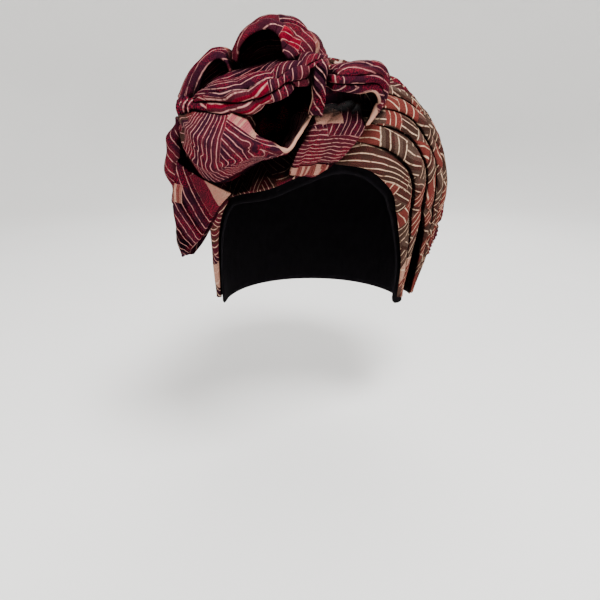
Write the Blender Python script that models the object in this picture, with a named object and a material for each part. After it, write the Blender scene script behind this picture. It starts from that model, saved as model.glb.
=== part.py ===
"""Tied head wrap with a front rosette, one object for each folded piece of cloth.

Metres, +Z up. The wearer faces -Y and their left side is +X.
The origin is the centre of the head hollow at its widest section.
"""

import math

import bmesh
import bpy
import numpy as np
from mathutils import Vector

# The head hollow
HEAD_WIDTH = 0.139
HEAD_LENGTH = 0.180
CROWN_HEIGHT = 0.080
NAPE_DROP = 0.088

# The cloth
LINING_WALL = 0.0015
LINING_SHOW = 0.004
CLOTH_WALL = 0.002
PETAL_WALL = 0.002
SEAT_GAP = 0.0007
PIECE_GAP = 0.0004
PLEAT_HEIGHT = 0.0065
FOLD_GAP = 0.0008

# The fit of the wrap on the head and its fullness over it
HEAD_EASE = 0.003
BAG_DEPTH = 0.060
LINING_FULLNESS = 0.7
CROWN_LIFT = 0.024

# The rosette, placed by its own seat inside the front of the wrap and below the crown
ROSETTE_WIDTH = 0.160
ROSETTE_HEIGHT = 0.160
ROSETTE_DEPTH = 0.090
ROSETTE_SIDE = -0.022
ROSETTE_DROP = 0.025
ROSETTE_SEAT = 0.030

# How far the cloth stands off its fit on the head, as shares of BAG_DEPTH. The columns are heights
# on the head: 0 is the crown, 1 the widest section and 2 the lower hem.
FULLNESS_HEIGHTS = (0.5, 0.8, 1.0, 1.4, 2.0)
FULLNESS = (
    # azimuth, upper, shoulder, widest, lower, hem
    (0, 0.18, 0.02, 0.00, 0.00, 0.00),
    (30, 0.27, 0.07, 0.00, 0.00, 0.00),
    (60, 0.47, 0.35, 0.11, 0.00, 0.00),
    (80, 0.51, 0.53, 0.45, 0.25, 0.02),
    (98, 0.58, 0.68, 0.69, 0.56, 0.30),
    (116, 0.66, 0.87, 0.93, 0.72, 0.32),
    (145, 0.59, 0.83, 0.91, 0.68, 0.24),
    (180, 0.45, 0.57, 0.59, 0.42, 0.08),
    (220, 0.33, 0.33, 0.31, 0.18, 0.03),
    (260, 0.20, 0.10, 0.05, 0.02, 0.00),
    (300, 0.17, 0.04, 0.00, 0.00, 0.00),
    (330, 0.17, 0.03, 0.00, 0.00, 0.00),
)

# The edge of the wrap round the face and nape: azimuth, height on the head
HEM_LINE = (
    (0, 0.79),
    (14, 0.745),
    (28, 0.775),
    (42, 0.88),
    (52, 1.02),
    (60, 1.18),
    (67, 1.38),
    (74, 1.66),
    (81, 1.90),
    (90, 1.96),
    (104, 1.98),
    (180, 2.00),
    (255, 1.97),
    (275, 1.93),
    (284, 1.60),
    (294, 1.28),
    (305, 1.08),
    (315, 0.94),
    (325, 0.90),
    (343, 0.865),
)

# The pleats fan from the rosette to behind the ears, between a front line on the face
# edge and a back line on the bag: azimuth and height of each, from top to bottom
LEFT_SIDE_FAN = (
    # front azimuth, front height, back azimuth, back height
    (12, 0.745, 44, 0.34),
    (28, 0.775, 68, 0.46),
    (42, 0.88, 80, 0.62),
    (52, 1.02, 86, 0.80),
    (60, 1.18, 89.5, 1.03),
    (67, 1.38, 93, 1.28),
    (74, 1.66, 96, 1.57),
    (81, 1.90, 100, 1.93),
)
RIGHT_SIDE_FAN = (
    (-45, 0.935, -52, 0.36),
    (-50, 1.00, -74, 0.48),
    (-55, 1.08, -87, 0.66),
    (-60, 1.17, -94, 0.86),
    (-66, 1.28, -98, 1.08),
    (-71, 1.42, -101, 1.35),
    (-76, 1.60, -103, 1.62),
    (-85, 1.93, -106, 1.93),
)

# Each pleat's share of its fan: where it starts and ends at the top and at the bottom
LEFT_SIDE_PLEATS = (
    # start at top, end at top, start at bottom, end at bottom
    (0.00, 0.26, 0.00, 0.10),
    (0.26, 0.47, 0.10, 0.24),
    (0.47, 0.65, 0.72, 0.82),
    (0.65, 0.83, 0.82, 0.91),
    (0.83, 1.00, 0.91, 1.00),
)
RIGHT_SIDE_PLEATS = (
    (0.00, 0.25, 0.00, 0.25),
    (0.25, 0.50, 0.25, 0.50),
    (0.50, 0.75, 0.50, 0.75),
    (0.75, 1.00, 0.75, 1.00),
)

# How a pleat changes along its fan, as shares of the fan's length from its top
PLEAT_TURN_START = 0.45
PLEAT_TURN_LENGTH = 0.5
PLEAT_RISE_LENGTH = 0.2
PLEAT_FLAT_SHARE = 0.12
PLEAT_ROUNDNESS = 0.7
PLEAT_MOST_MARGIN = 0.2

# How finely the wrap is divided
PLEAT_ROWS = 12
PLEAT_COLUMNS = 6
TOP_CELLS = 5
NAPE_CELLS = 13
BROW_CELLS = 6
BAG_ROWS = 12
LINING_ROWS = 12
LINING_COLUMNS = 44
CUTTER_ROWS = 16
CUTTER_COLUMNS = 60

# The small steps in azimuth and height by which the wrap's slope is measured
AZIMUTH_STEP = 0.6
HEIGHT_STEP = 0.01

# The lowest height on the head that the cloth reaches
LOWEST = 2.0

# The petals of the rosette. Each row is a section across the cloth through three points,
# its free lip, its crest and its root, as shares of the rosette's width, height and depth.
HOOD = (
    # lip side, rise, out, crest side, rise, out, root side, rise, out
    (-0.14, 0.27, 0.53, -0.17, 0.28, 0.36, -0.20, 0.24, 0.00),
    (-0.12, 0.33, 0.58, -0.14, 0.35, 0.33, -0.13, 0.29, -0.17),
    (-0.07, 0.37, 0.61, -0.08, 0.40, 0.33, -0.04, 0.31, -0.28),
    (-0.01, 0.38, 0.63, 0.00, 0.42, 0.36, 0.05, 0.31, -0.33),
    (0.03, 0.35, 0.66, 0.10, 0.41, 0.36, 0.13, 0.30, -0.28),
    (0.05, 0.29, 0.68, 0.17, 0.35, 0.36, 0.18, 0.26, -0.17),
    (0.08, 0.23, 0.67, 0.19, 0.27, 0.39, 0.18, 0.18, 0.00),
)
SIDE_LOOP = (
    (-0.31, 0.12, 0.50, -0.38, 0.14, 0.36, -0.36, 0.08, 0.00),
    (-0.29, 0.19, 0.51, -0.35, 0.20, 0.33, -0.33, 0.14, -0.11),
    (-0.26, 0.25, 0.51, -0.30, 0.26, 0.31, -0.27, 0.20, -0.17),
    (-0.22, 0.28, 0.50, -0.24, 0.31, 0.29, -0.21, 0.24, -0.20),
    (-0.19, 0.27, 0.49, -0.18, 0.32, 0.29, -0.15, 0.26, -0.17),
    (-0.17, 0.23, 0.49, -0.14, 0.28, 0.31, -0.13, 0.20, 0.00),
)
CROSS_PETAL = (
    (-0.31, 0.10, 0.64, -0.31, 0.11, 0.60, -0.33, 0.11, 0.44),
    (-0.23, 0.09, 0.78, -0.25, 0.14, 0.74, -0.28, 0.17, 0.39),
    (-0.14, 0.08, 0.87, -0.17, 0.16, 0.82, -0.20, 0.23, 0.30),
    (-0.05, 0.11, 0.89, -0.08, 0.18, 0.84, -0.10, 0.27, 0.24),
    (0.04, 0.16, 0.87, 0.02, 0.22, 0.82, 0.02, 0.30, 0.20),
    (0.12, 0.20, 0.80, 0.12, 0.26, 0.74, 0.12, 0.32, 0.20),
    (0.18, 0.24, 0.69, 0.20, 0.27, 0.60, 0.20, 0.29, 0.28),
)
BOWL_PETAL = (
    (-0.32, 0.09, 0.64, -0.36, 0.03, 0.62, -0.34, -0.06, 0.10),
    (-0.26, 0.08, 0.78, -0.31, -0.06, 0.85, -0.30, -0.19, 0.16),
    (-0.19, 0.07, 0.87, -0.23, -0.11, 0.95, -0.22, -0.20, 0.18),
    (-0.11, 0.06, 0.91, -0.14, -0.09, 0.96, -0.14, -0.16, 0.16),
    (-0.06, 0.01, 0.92, -0.06, -0.07, 0.93, -0.07, -0.11, 0.14),
    (0.00, -0.03, 0.89, 0.00, -0.07, 0.78, -0.01, -0.07, 0.12),
    (0.06, -0.05, 0.82, 0.04, -0.06, 0.62, 0.02, -0.04, 0.10),
    (0.10, 0.00, 0.73, 0.07, 0.00, 0.52, 0.04, 0.01, 0.08),
    (0.14, 0.08, 0.64, 0.10, 0.08, 0.46, 0.06, 0.06, 0.08),
)
FRONT_TAIL = (
    (-0.19, -0.21, 0.69, -0.38, -0.09, 0.61, -0.20, -0.13, 0.04),
    (-0.24, -0.27, 0.67, -0.40, -0.21, 0.58, -0.22, -0.23, 0.06),
    (-0.28, -0.34, 0.62, -0.41, -0.31, 0.50, -0.25, -0.31, 0.14),
    (-0.32, -0.41, 0.56, -0.42, -0.41, 0.43, -0.29, -0.39, 0.20),
    (-0.36, -0.46, 0.47, -0.42, -0.47, 0.38, -0.33, -0.46, 0.24),
    (-0.39, -0.50, 0.38, -0.41, -0.51, 0.33, -0.37, -0.51, 0.27),
)
BACK_FLAP = (
    (-0.37, 0.06, 0.46, -0.39, 0.06, 0.34, -0.31, 0.02, -0.26),
    (-0.38, -0.02, 0.49, -0.43, -0.03, 0.32, -0.32, -0.06, -0.30),
    (-0.38, -0.09, 0.51, -0.45, -0.12, 0.32, -0.33, -0.15, -0.32),
    (-0.37, -0.18, 0.49, -0.44, -0.21, 0.31, -0.33, -0.24, -0.30),
    (-0.35, -0.27, 0.44, -0.43, -0.29, 0.29, -0.33, -0.31, -0.20),
    (-0.34, -0.33, 0.40, -0.39, -0.34, 0.28, -0.33, -0.36, -0.06),
)
SIDE_BOW = (
    (0.18, 0.19, 0.64, 0.20, 0.22, 0.67, 0.25, 0.25, 0.28),
    (0.24, 0.17, 0.67, 0.26, 0.22, 0.69, 0.31, 0.28, 0.22),
    (0.32, 0.16, 0.60, 0.34, 0.23, 0.60, 0.38, 0.29, 0.11),
    (0.39, 0.17, 0.47, 0.42, 0.23, 0.42, 0.44, 0.28, -0.02),
    (0.42, 0.12, 0.36, 0.45, 0.17, 0.29, 0.47, 0.19, -0.11),
    (0.37, 0.04, 0.36, 0.41, 0.07, 0.22, 0.43, 0.10, -0.06),
)
BROW_TAIL = (
    (0.19, 0.10, 0.22, 0.28, 0.12, 0.20, 0.35, 0.11, 0.16),
    (0.16, 0.09, 0.44, 0.26, 0.10, 0.40, 0.35, 0.08, 0.31),
    (0.14, 0.05, 0.58, 0.24, 0.05, 0.53, 0.36, 0.02, 0.36),
    (0.12, -0.01, 0.60, 0.20, -0.02, 0.56, 0.31, -0.05, 0.38),
    (0.09, -0.07, 0.58, 0.16, -0.08, 0.51, 0.25, -0.11, 0.37),
    (0.06, -0.15, 0.49, 0.10, -0.16, 0.44, 0.16, -0.17, 0.36),
)
CENTRE_FOLD = (
    (0.16, 0.24, 0.79, 0.18, 0.25, 0.83, 0.20, 0.24, 0.79),
    (0.15, 0.19, 0.81, 0.17, 0.19, 0.85, 0.19, 0.18, 0.81),
    (0.15, 0.13, 0.78, 0.17, 0.13, 0.81, 0.19, 0.12, 0.77),
    (0.14, 0.08, 0.69, 0.16, 0.08, 0.72, 0.18, 0.07, 0.67),
)
PINCH_FOLD = (
    (-0.36, 0.13, 0.50, -0.34, 0.14, 0.64, -0.29, 0.12, 0.68),
    (-0.37, 0.10, 0.50, -0.35, 0.10, 0.68, -0.29, 0.10, 0.72),
    (-0.36, 0.06, 0.50, -0.34, 0.05, 0.64, -0.29, 0.08, 0.68),
)


def clear_scene():
    for item in list(bpy.data.objects):
        bpy.data.objects.remove(item)


def catmull(before, start, end, after, share):
    """The point at share of the way from start to end, on a smooth curve through all four."""
    return 0.5 * (
        2 * start
        + (end - before) * share
        + (2 * before - 5 * start + 4 * end - after) * share**2
        + (3 * start - before - 3 * end + after) * share**3
    )


def smooth_row(rows, position):
    """The row at a fractional position in a table, on a smooth curve through its rows."""
    last = len(rows) - 1
    start = min(int(position), last - 1)
    share = position - start
    inner = [np.array(rows[min(max(start + step, 0), last)], float) for step in (-1, 0, 1, 2)]
    if start == 0:
        inner[0] = 2 * inner[1] - inner[2]
    if start == last - 1:
        inner[3] = 2 * inner[2] - inner[1]
    return catmull(*inner, share)


def round_table(table, azimuth):
    """The values of a table whose first column is an azimuth, smoothly round the head."""
    azimuth = azimuth % 360
    count = len(table)
    after = next((i for i, row in enumerate(table) if row[0] > azimuth), count)
    picked = []
    for step in (-2, -1, 0, 1):
        turns, index = divmod(after + step, count)
        row = np.array(table[index], float)
        row[0] += 360 * turns
        picked.append(row)
    share = (azimuth - picked[1][0]) / (picked[2][0] - picked[1][0])
    return catmull(*picked, share)[1:]


def stand_off(azimuth, height, fullness):
    """How far cloth of a given fullness stands off the head."""
    shares = round_table(FULLNESS, azimuth) * BAG_DEPTH
    heights = (0.0,) + FULLNESS_HEIGHTS
    values = [CROWN_LIFT] + list(shares)
    height = min(max(height, 0.0), heights[-1])
    last = len(heights) - 1
    start = min(max(i for i in range(len(heights)) if heights[i] <= height), last - 1)
    share = (height - heights[start]) / (heights[start + 1] - heights[start])
    before = values[1] if start == 0 else values[start - 1]
    after = values[start + 1] if start == last - 1 else values[start + 2]
    stand = catmull(before, values[start], values[start + 1], after, share)
    return HEAD_EASE + fullness * max(0.0, stand)


def base_point(azimuth, height, fullness=1.0):
    """The cloth's inner surface at an azimuth in degrees and a height on the head."""
    turn = math.radians(azimuth)
    outward = Vector((math.sin(turn), -math.cos(turn), 0))
    spread = math.hypot(outward.x / (HEAD_WIDTH / 2), outward.y / (HEAD_LENGTH / 2))
    if height > 1:
        reach = 1 / spread + stand_off(azimuth, height, fullness)
        return outward * reach + Vector((0, 0, -NAPE_DROP * (height - 1)))
    polar = height * math.pi / 2
    radius = 1 / math.hypot(spread * math.sin(polar), math.cos(polar) / CROWN_HEIGHT)
    direction = outward * math.sin(polar) + Vector((0, 0, math.cos(polar)))
    return direction * (radius + stand_off(azimuth, height, fullness))


def wrap_point(azimuth, height, lift, fullness=1.0):
    """A point that stands lift off that surface, square to it."""
    height = max(height, HEIGHT_STEP)
    east, west = [base_point(azimuth + side * AZIMUTH_STEP, height, fullness) for side in (1, -1)]
    low, high = [base_point(azimuth, height + side * HEIGHT_STEP, fullness) for side in (1, -1)]
    normal = (low - high).cross(east - west).normalized()
    return base_point(azimuth, height, fullness) + normal * lift


def hem_height(azimuth):
    return float(round_table(HEM_LINE, azimuth)[0])


def new_object(name, mesh_data, colour):
    """Makes a mesh a visible, smoothly shaded object with a plain cloth material."""
    material = bpy.data.materials.new(name + "_cloth")
    material.use_nodes = True
    shader = material.node_tree.nodes["Principled BSDF"]
    shader.inputs["Base Color"].default_value = (*colour, 1)
    shader.inputs["Roughness"].default_value = 0.75
    mesh_data.materials.append(material)
    mesh_data.shade_smooth()
    item = bpy.data.objects.new(name, mesh_data)
    bpy.context.scene.collection.objects.link(item)
    return item


def layered_mesh(name, inner, outer):
    """A closed solid between two equal grids of points."""
    mesh_data = bpy.data.meshes.new(name)
    made = bmesh.new()
    rows, columns = len(inner), len(inner[0])
    layers = [[[made.verts.new(p) for p in row] for row in grid] for grid in (inner, outer)]
    for side, layer in enumerate(layers):
        for i in range(rows - 1):
            for j in range(columns - 1):
                face = [layer[i][j], layer[i][j + 1], layer[i + 1][j + 1], layer[i + 1][j]]
                made.faces.new(face if side else face[::-1])
    rims = [[(i, j) for i in range(rows)] for j in (0, columns - 1)]
    rims += [[(i, j) for j in range(columns)] for i in (0, rows - 1)]
    for rim in rims:
        for (i, j), (m, n) in zip(rim, rim[1:]):
            made.faces.new((layers[0][i][j], layers[0][m][n], layers[1][m][n], layers[1][i][j]))
    bmesh.ops.recalc_face_normals(made, faces=made.faces)
    made.to_mesh(mesh_data)
    made.free()
    return mesh_data


def capped_dome_mesh(name, inner, outer):
    """A closed dome between two grids that run right round and meet at one crown point."""
    crowns = [sum(grid[0], Vector()) / len(grid[0]) for grid in (inner, outer)]
    mesh_data = bpy.data.meshes.new(name)
    made = bmesh.new()
    columns = len(inner[0])
    layers = []
    for crown, grid in zip(crowns, (inner, outer)):
        top = made.verts.new(crown)
        layer = [[made.verts.new(p) for p in row] for row in grid]
        layers.append(layer)
        for j in range(columns):
            k = (j + 1) % columns
            made.faces.new((top, layer[0][j], layer[0][k]))
            for i in range(len(grid) - 1):
                made.faces.new((layer[i][j], layer[i + 1][j], layer[i + 1][k], layer[i][k]))
    for j in range(columns):
        k = (j + 1) % columns
        made.faces.new((layers[0][-1][j], layers[1][-1][j], layers[1][-1][k], layers[0][-1][k]))
    bmesh.ops.recalc_face_normals(made, faces=made.faces)
    made.to_mesh(mesh_data)
    made.free()
    return mesh_data


def dome_grid(azimuths, edge_height, rows, lift, fullness):
    """Rings from the crown down to an edge line, lift off cloth of a given fullness."""
    grid = []
    for i in range(1, rows + 1):
        share = i / rows
        grid.append([wrap_point(a, edge_height(a) * share, lift, fullness) for a in azimuths])
    return grid


def make_lining(colour):
    """The dark inner cap, which shows as a narrow edge round the face."""
    azimuths = [360 * i / LINING_COLUMNS for i in range(LINING_COLUMNS)]

    def edge(azimuth):
        return hem_height(azimuth) + LINING_SHOW / NAPE_DROP

    inner = dome_grid(azimuths, edge, LINING_ROWS, -LINING_WALL, LINING_FULLNESS)
    outer = dome_grid(azimuths, edge, LINING_ROWS, 0, LINING_FULLNESS)
    return new_object("lining_cap", capped_dome_mesh("lining_cap", inner, outer), colour)


def fan_point(fan, across, along):
    """Azimuth and height at shares across and along a fan of pleats."""
    row = smooth_row(fan, along * (len(fan) - 1))
    return row[:2] * (1 - across) + row[2:] * across


def pleat_span(pleat, along):
    """Where a pleat starts and ends across its fan, as it runs from top to bottom."""
    start_top, end_top, start_low, end_low = pleat
    share = min(max((along - PLEAT_TURN_START) / PLEAT_TURN_LENGTH, 0), 1)
    share = share * share * (3 - 2 * share)
    start = start_top + (start_low - start_top) * share
    return start, end_top + (end_low - end_top) * share


def pleat_rise(across, along):
    """Height of a pleat's fold: round on top, steep at its feet, flat under the rosette."""
    swell = min(1.0, PLEAT_FLAT_SHARE + along / PLEAT_RISE_LENGTH)
    return PLEAT_HEIGHT * swell * math.sin(math.pi * across) ** PLEAT_ROUNDNESS


def pleat_grid(fan, pleat, lift, margin_gap):
    """Points of one pleat, lift off the wrap, with a gap left along both of its feet."""
    grid = []
    for i in range(PLEAT_ROWS + 1):
        along = i / PLEAT_ROWS
        start, end = pleat_span(pleat, along)
        low = fan_point(fan, start, along)
        high = fan_point(fan, end, along)
        width = (wrap_point(*high, 0) - wrap_point(*low, 0)).length
        margin = min(margin_gap / width, PLEAT_MOST_MARGIN)
        swell = min(1.0, width / (2 * PLEAT_HEIGHT))
        points = []
        for j in range(PLEAT_COLUMNS + 1):
            across = j / PLEAT_COLUMNS
            share = margin + (1 - 2 * margin) * across
            azimuth, height = low * (1 - share) + high * share
            points.append(wrap_point(azimuth, height, lift + swell * pleat_rise(across, along)))
        grid.append(points)
    return grid


def make_pleat(name, fan, pleat, colour):
    inner = pleat_grid(fan, pleat, SEAT_GAP, FOLD_GAP / 2)
    outer = pleat_grid(fan, pleat, SEAT_GAP + CLOTH_WALL, FOLD_GAP / 2)
    return new_object(name, layered_mesh(name, inner, outer), colour)


def fan_cutter(name, fan, pleats):
    """Everything under a fan of pleats, which petals end just above."""
    layers = []
    for lift in (-PLEAT_HEIGHT, SEAT_GAP + CLOTH_WALL + PIECE_GAP):
        grids = [pleat_grid(fan, pleat, lift, FOLD_GAP / 4) for pleat in pleats]
        layers.append([sum(lines, []) for lines in zip(*grids)])
    return hidden_cutter(name, layered_mesh(name, *layers))


def moved_line(line, distance):
    """A line of azimuths and heights, moved sideways over the wrap by a distance."""
    moved = []
    for i, (azimuth, height) in enumerate(line):
        before, after = line[max(i - 1, 0)], line[min(i + 1, len(line) - 1)]
        here = wrap_point(azimuth, height, 0)
        degree = (wrap_point(azimuth + AZIMUTH_STEP, height, 0) - here).length / AZIMUTH_STEP
        unit = (wrap_point(azimuth, height + HEIGHT_STEP, 0) - here).length / HEIGHT_STEP
        across = (after[0] - before[0]) * degree
        down = (after[1] - before[1]) * unit
        share = distance / math.hypot(across, down)
        moved.append((azimuth + share * down / degree, height - share * across / unit))
    return moved


def bag_side(fan, turn):
    """The bag's edge along one fan, up over the fan's top and down its back.

    It stands FOLD_GAP clear of the pleats. turn is 1 on the wearer's left and -1 on the right.
    """
    line = [tuple(fan_point(fan, i / TOP_CELLS, 0)) for i in range(TOP_CELLS)]
    line += [tuple(fan_point(fan, 1, i / PLEAT_ROWS)) for i in range(PLEAT_ROWS + 1)]
    return moved_line(line, turn * FOLD_GAP)


def bag_edge():
    """The bag's outline as azimuth and height, once round the head from the middle of the face."""
    left = bag_side(LEFT_SIDE_FAN, 1)
    right = [(azimuth + 360, height) for azimuth, height in bag_side(RIGHT_SIDE_FAN, -1)][::-1]

    def hem(start, end, cells):
        azimuths = [start + (end - start) * i / cells for i in range(1, cells)]
        return [(azimuth, hem_height(azimuth)) for azimuth in azimuths]

    nape = hem(left[-1][0], right[0][0], NAPE_CELLS)
    brow = hem(right[-1][0], left[0][0] + 360, BROW_CELLS)
    return left + nape + right + brow


def make_bag(colour):
    """The full, soft cloth over the brow, the crown and the back of the head."""
    edge = bag_edge()
    inner, outer = [], []
    for i in range(1, BAG_ROWS + 1):
        share = i / BAG_ROWS
        inner.append([wrap_point(a, h * share, SEAT_GAP) for a, h in edge])
        outer.append([wrap_point(a, h * share, SEAT_GAP + CLOTH_WALL) for a, h in edge])
    return new_object("crown_bag", capped_dome_mesh("crown_bag", inner, outer), colour)


def rosette_point(side, rise, out):
    """A point of the rosette from its shares of width, height and depth."""
    seat = HEAD_LENGTH / 2 - ROSETTE_SEAT
    return Vector(
        (
            ROSETTE_SIDE + side * ROSETTE_WIDTH,
            -seat - out * ROSETTE_DEPTH,
            CROWN_HEIGHT - ROSETTE_DROP + rise * ROSETTE_HEIGHT,
        )
    )


def petal_grid(sections, along, across):
    """Points of a petal's middle surface, smooth through its table of sections."""
    grid = []
    for i in range(along + 1):
        row = smooth_row(sections, i / along * (len(sections) - 1))
        lip, crest, root = row[:3], row[3:6], row[6:]
        line = []
        for j in range(across + 1):
            v = j / across
            shares = lip * (1 - v) * (1 - 2 * v) + crest * 4 * v * (1 - v) + root * v * (2 * v - 1)
            line.append(rosette_point(*shares))
        grid.append(line)
    return grid


def grid_normals(grid):
    """Unit normals of a grid of points, from its neighbours."""
    rows, columns = len(grid), len(grid[0])
    normals = []
    for i in range(rows):
        line = []
        for j in range(columns):
            along = grid[min(i + 1, rows - 1)][j] - grid[max(i - 1, 0)][j]
            across = grid[i][min(j + 1, columns - 1)] - grid[i][max(j - 1, 0)]
            line.append(along.cross(across).normalized())
        normals.append(line)
    return normals


def grown_grid(grid, distance):
    """The grid with all four of its edges moved out by a distance."""
    grid = [[p.copy() for p in line] for line in grid]
    for line in grid:
        line[0] += (line[0] - line[1]).normalized() * distance
        line[-1] += (line[-1] - line[-2]).normalized() * distance
    for edge, inside in ((0, 1), (-1, -2)):
        for j in range(len(grid[0])):
            grid[edge][j] += (grid[edge][j] - grid[inside][j]).normalized() * distance
    return grid


def sheet_mesh(name, grid, wall):
    normals = grid_normals(grid)
    layers = []
    for side in (-0.5, 0.5):
        layers.append(
            [[p + n * wall * side for p, n in zip(*lines)] for lines in zip(grid, normals)]
        )
    return layered_mesh(name, *layers)


def hidden_cutter(name, mesh_data):
    item = bpy.data.objects.new(name, mesh_data)
    bpy.context.scene.collection.objects.link(item)
    item.hide_render = True
    item.display_type = "WIRE"
    return item


def wrap_cutter():
    """Everything inside the wrap's cloth, which petals end just above."""
    azimuths = [360 * i / CUTTER_COLUMNS for i in range(CUTTER_COLUMNS)]
    heights = [LOWEST * i / CUTTER_ROWS for i in range(1, CUTTER_ROWS + 1)]
    lift = SEAT_GAP + CLOTH_WALL + PIECE_GAP
    made = bmesh.new()
    rings = [[made.verts.new(wrap_point(a, h, lift)) for a in azimuths] for h in heights]
    for upper, lower in zip(rings, rings[1:]):
        for j in range(CUTTER_COLUMNS):
            k = (j + 1) % CUTTER_COLUMNS
            made.faces.new((upper[j], lower[j], lower[k], upper[k]))
    made.faces.new(rings[0])
    made.faces.new(rings[-1][::-1])
    bmesh.ops.recalc_face_normals(made, faces=made.faces)
    mesh_data = bpy.data.meshes.new("wrap_cutter")
    made.to_mesh(mesh_data)
    made.free()
    return hidden_cutter("wrap_cutter", mesh_data)


def keep_largest_body(item):
    """Drops the offcuts that a cut leaves."""
    made = bmesh.new()
    made.from_mesh(item.data)
    left = set(made.faces)
    bodies = []
    while left:
        stack = [left.pop()]
        body = []
        while stack:
            face = stack.pop()
            body.append(face)
            for other in {f for edge in face.edges for f in edge.link_faces} & left:
                left.remove(other)
                stack.append(other)
        bodies.append(body)
    bodies.sort(key=lambda body: sum(face.calc_area() for face in body))
    offcuts = [face for body in bodies[:-1] for face in body]
    bmesh.ops.delete(made, geom=offcuts, context="FACES")
    made.to_mesh(item.data)
    made.free()


def cut_back(item, cutters):
    """Cuts a petal back from what it ends on and from the petals in front of it."""
    for cutter in cutters:
        cut = item.modifiers.new("cut_back", "BOOLEAN")
        cut.operation = "DIFFERENCE"
        cut.object = cutter
    graph = bpy.context.evaluated_depsgraph_get()
    finished = bpy.data.meshes.new_from_object(item.evaluated_get(graph))
    item.modifiers.clear()
    item.data = finished
    keep_largest_body(item)


PETALS = (
    # name, table, cells along, cells across
    ("centre_fold", CENTRE_FOLD, 6, 3),
    ("bowl_petal", BOWL_PETAL, 16, 7),
    ("cross_petal", CROSS_PETAL, 12, 6),
    ("hood_petal", HOOD, 12, 7),
    ("side_bow", SIDE_BOW, 10, 6),
    ("brow_tail", BROW_TAIL, 9, 5),
    ("side_loop", SIDE_LOOP, 10, 6),
    ("front_tail", FRONT_TAIL, 9, 8),
    ("back_flap", BACK_FLAP, 8, 6),
    ("pinch_fold", PINCH_FOLD, 4, 4),
)


def make_rosette(fan_cutters, colour):
    cutters = [wrap_cutter()] + fan_cutters
    for name, sections, along, across in PETALS:
        grid = petal_grid(sections, along, across)
        petal = new_object(name, sheet_mesh(name, grid, PETAL_WALL), colour)
        cut_back(petal, cutters)
        wide = sheet_mesh(name + "_cutter", grown_grid(grid, PIECE_GAP), PETAL_WALL + 2 * PIECE_GAP)
        cutters.append(hidden_cutter(name + "_cutter", wide))


def main():
    clear_scene()
    cloth = (0.16, 0.03, 0.05)
    make_lining((0.01, 0.01, 0.012))
    fan_cutters = []
    for side, fan, pleats in (
        ("left", LEFT_SIDE_FAN, LEFT_SIDE_PLEATS),
        ("right", RIGHT_SIDE_FAN, RIGHT_SIDE_PLEATS),
    ):
        for index, pleat in enumerate(pleats, 1):
            make_pleat(f"{side}_pleat_{index}", fan, pleat, cloth)
        fan_cutters.append(fan_cutter(side + "_fan_cutter", fan, pleats))
    make_bag(cloth)
    make_rosette(fan_cutters, cloth)


main()
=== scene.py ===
import math

import bmesh
import bpy
import numpy as np
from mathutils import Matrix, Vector, bvhtree, noise


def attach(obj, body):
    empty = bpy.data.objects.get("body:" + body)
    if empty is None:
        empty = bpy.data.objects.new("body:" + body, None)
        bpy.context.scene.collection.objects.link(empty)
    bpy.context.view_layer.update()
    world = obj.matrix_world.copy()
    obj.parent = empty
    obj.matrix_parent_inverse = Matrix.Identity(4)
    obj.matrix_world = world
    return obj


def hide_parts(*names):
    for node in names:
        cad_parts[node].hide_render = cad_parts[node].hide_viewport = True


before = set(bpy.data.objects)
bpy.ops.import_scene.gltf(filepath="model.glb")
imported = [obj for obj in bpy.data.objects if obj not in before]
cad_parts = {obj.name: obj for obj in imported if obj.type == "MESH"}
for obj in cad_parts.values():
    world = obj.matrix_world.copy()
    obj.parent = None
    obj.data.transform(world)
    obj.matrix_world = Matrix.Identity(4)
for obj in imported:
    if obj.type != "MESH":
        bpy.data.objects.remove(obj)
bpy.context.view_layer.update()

# The head hollow
HEAD_WIDTH = 0.139
HEAD_LENGTH = 0.180
CROWN_HEIGHT = 0.080
NAPE_DROP = 0.088

# The cloth
LINING_WALL = 0.0015
LINING_SHOW = 0.004
CLOTH_WALL = 0.002
SEAT_GAP = 0.0007
FOLD_GAP = 0.0008

# The fit of the wrap on the head and its fullness over it
HEAD_EASE = 0.003
BAG_DEPTH = 0.060
LINING_FULLNESS = 0.7
CROWN_LIFT = 0.024

# The rosette, placed by its own seat inside the front of the wrap and below the crown
ROSETTE_WIDTH = 0.160
ROSETTE_HEIGHT = 0.160
ROSETTE_DEPTH = 0.090
ROSETTE_SIDE = -0.022
ROSETTE_DROP = 0.025
ROSETTE_SEAT = 0.030

# How far the cloth stands off its fit on the head, as shares of BAG_DEPTH. The columns are heights
# on the head: 0 is the crown, 1 the widest section and 2 the lower hem.
FULLNESS_HEIGHTS = (0.5, 0.8, 1.0, 1.4, 2.0)
FULLNESS = (
    # azimuth, upper, shoulder, widest, lower, hem
    (0, 0.18, 0.02, 0.00, 0.00, 0.00),
    (30, 0.27, 0.07, 0.00, 0.00, 0.00),
    (60, 0.47, 0.35, 0.11, 0.00, 0.00),
    (80, 0.51, 0.53, 0.45, 0.25, 0.02),
    (98, 0.58, 0.68, 0.69, 0.56, 0.30),
    (116, 0.66, 0.87, 0.93, 0.72, 0.32),
    (145, 0.59, 0.83, 0.91, 0.68, 0.24),
    (180, 0.45, 0.57, 0.59, 0.42, 0.08),
    (220, 0.33, 0.33, 0.31, 0.18, 0.03),
    (260, 0.20, 0.10, 0.05, 0.02, 0.00),
    (300, 0.17, 0.04, 0.00, 0.00, 0.00),
    (330, 0.17, 0.03, 0.00, 0.00, 0.00),
)

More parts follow.
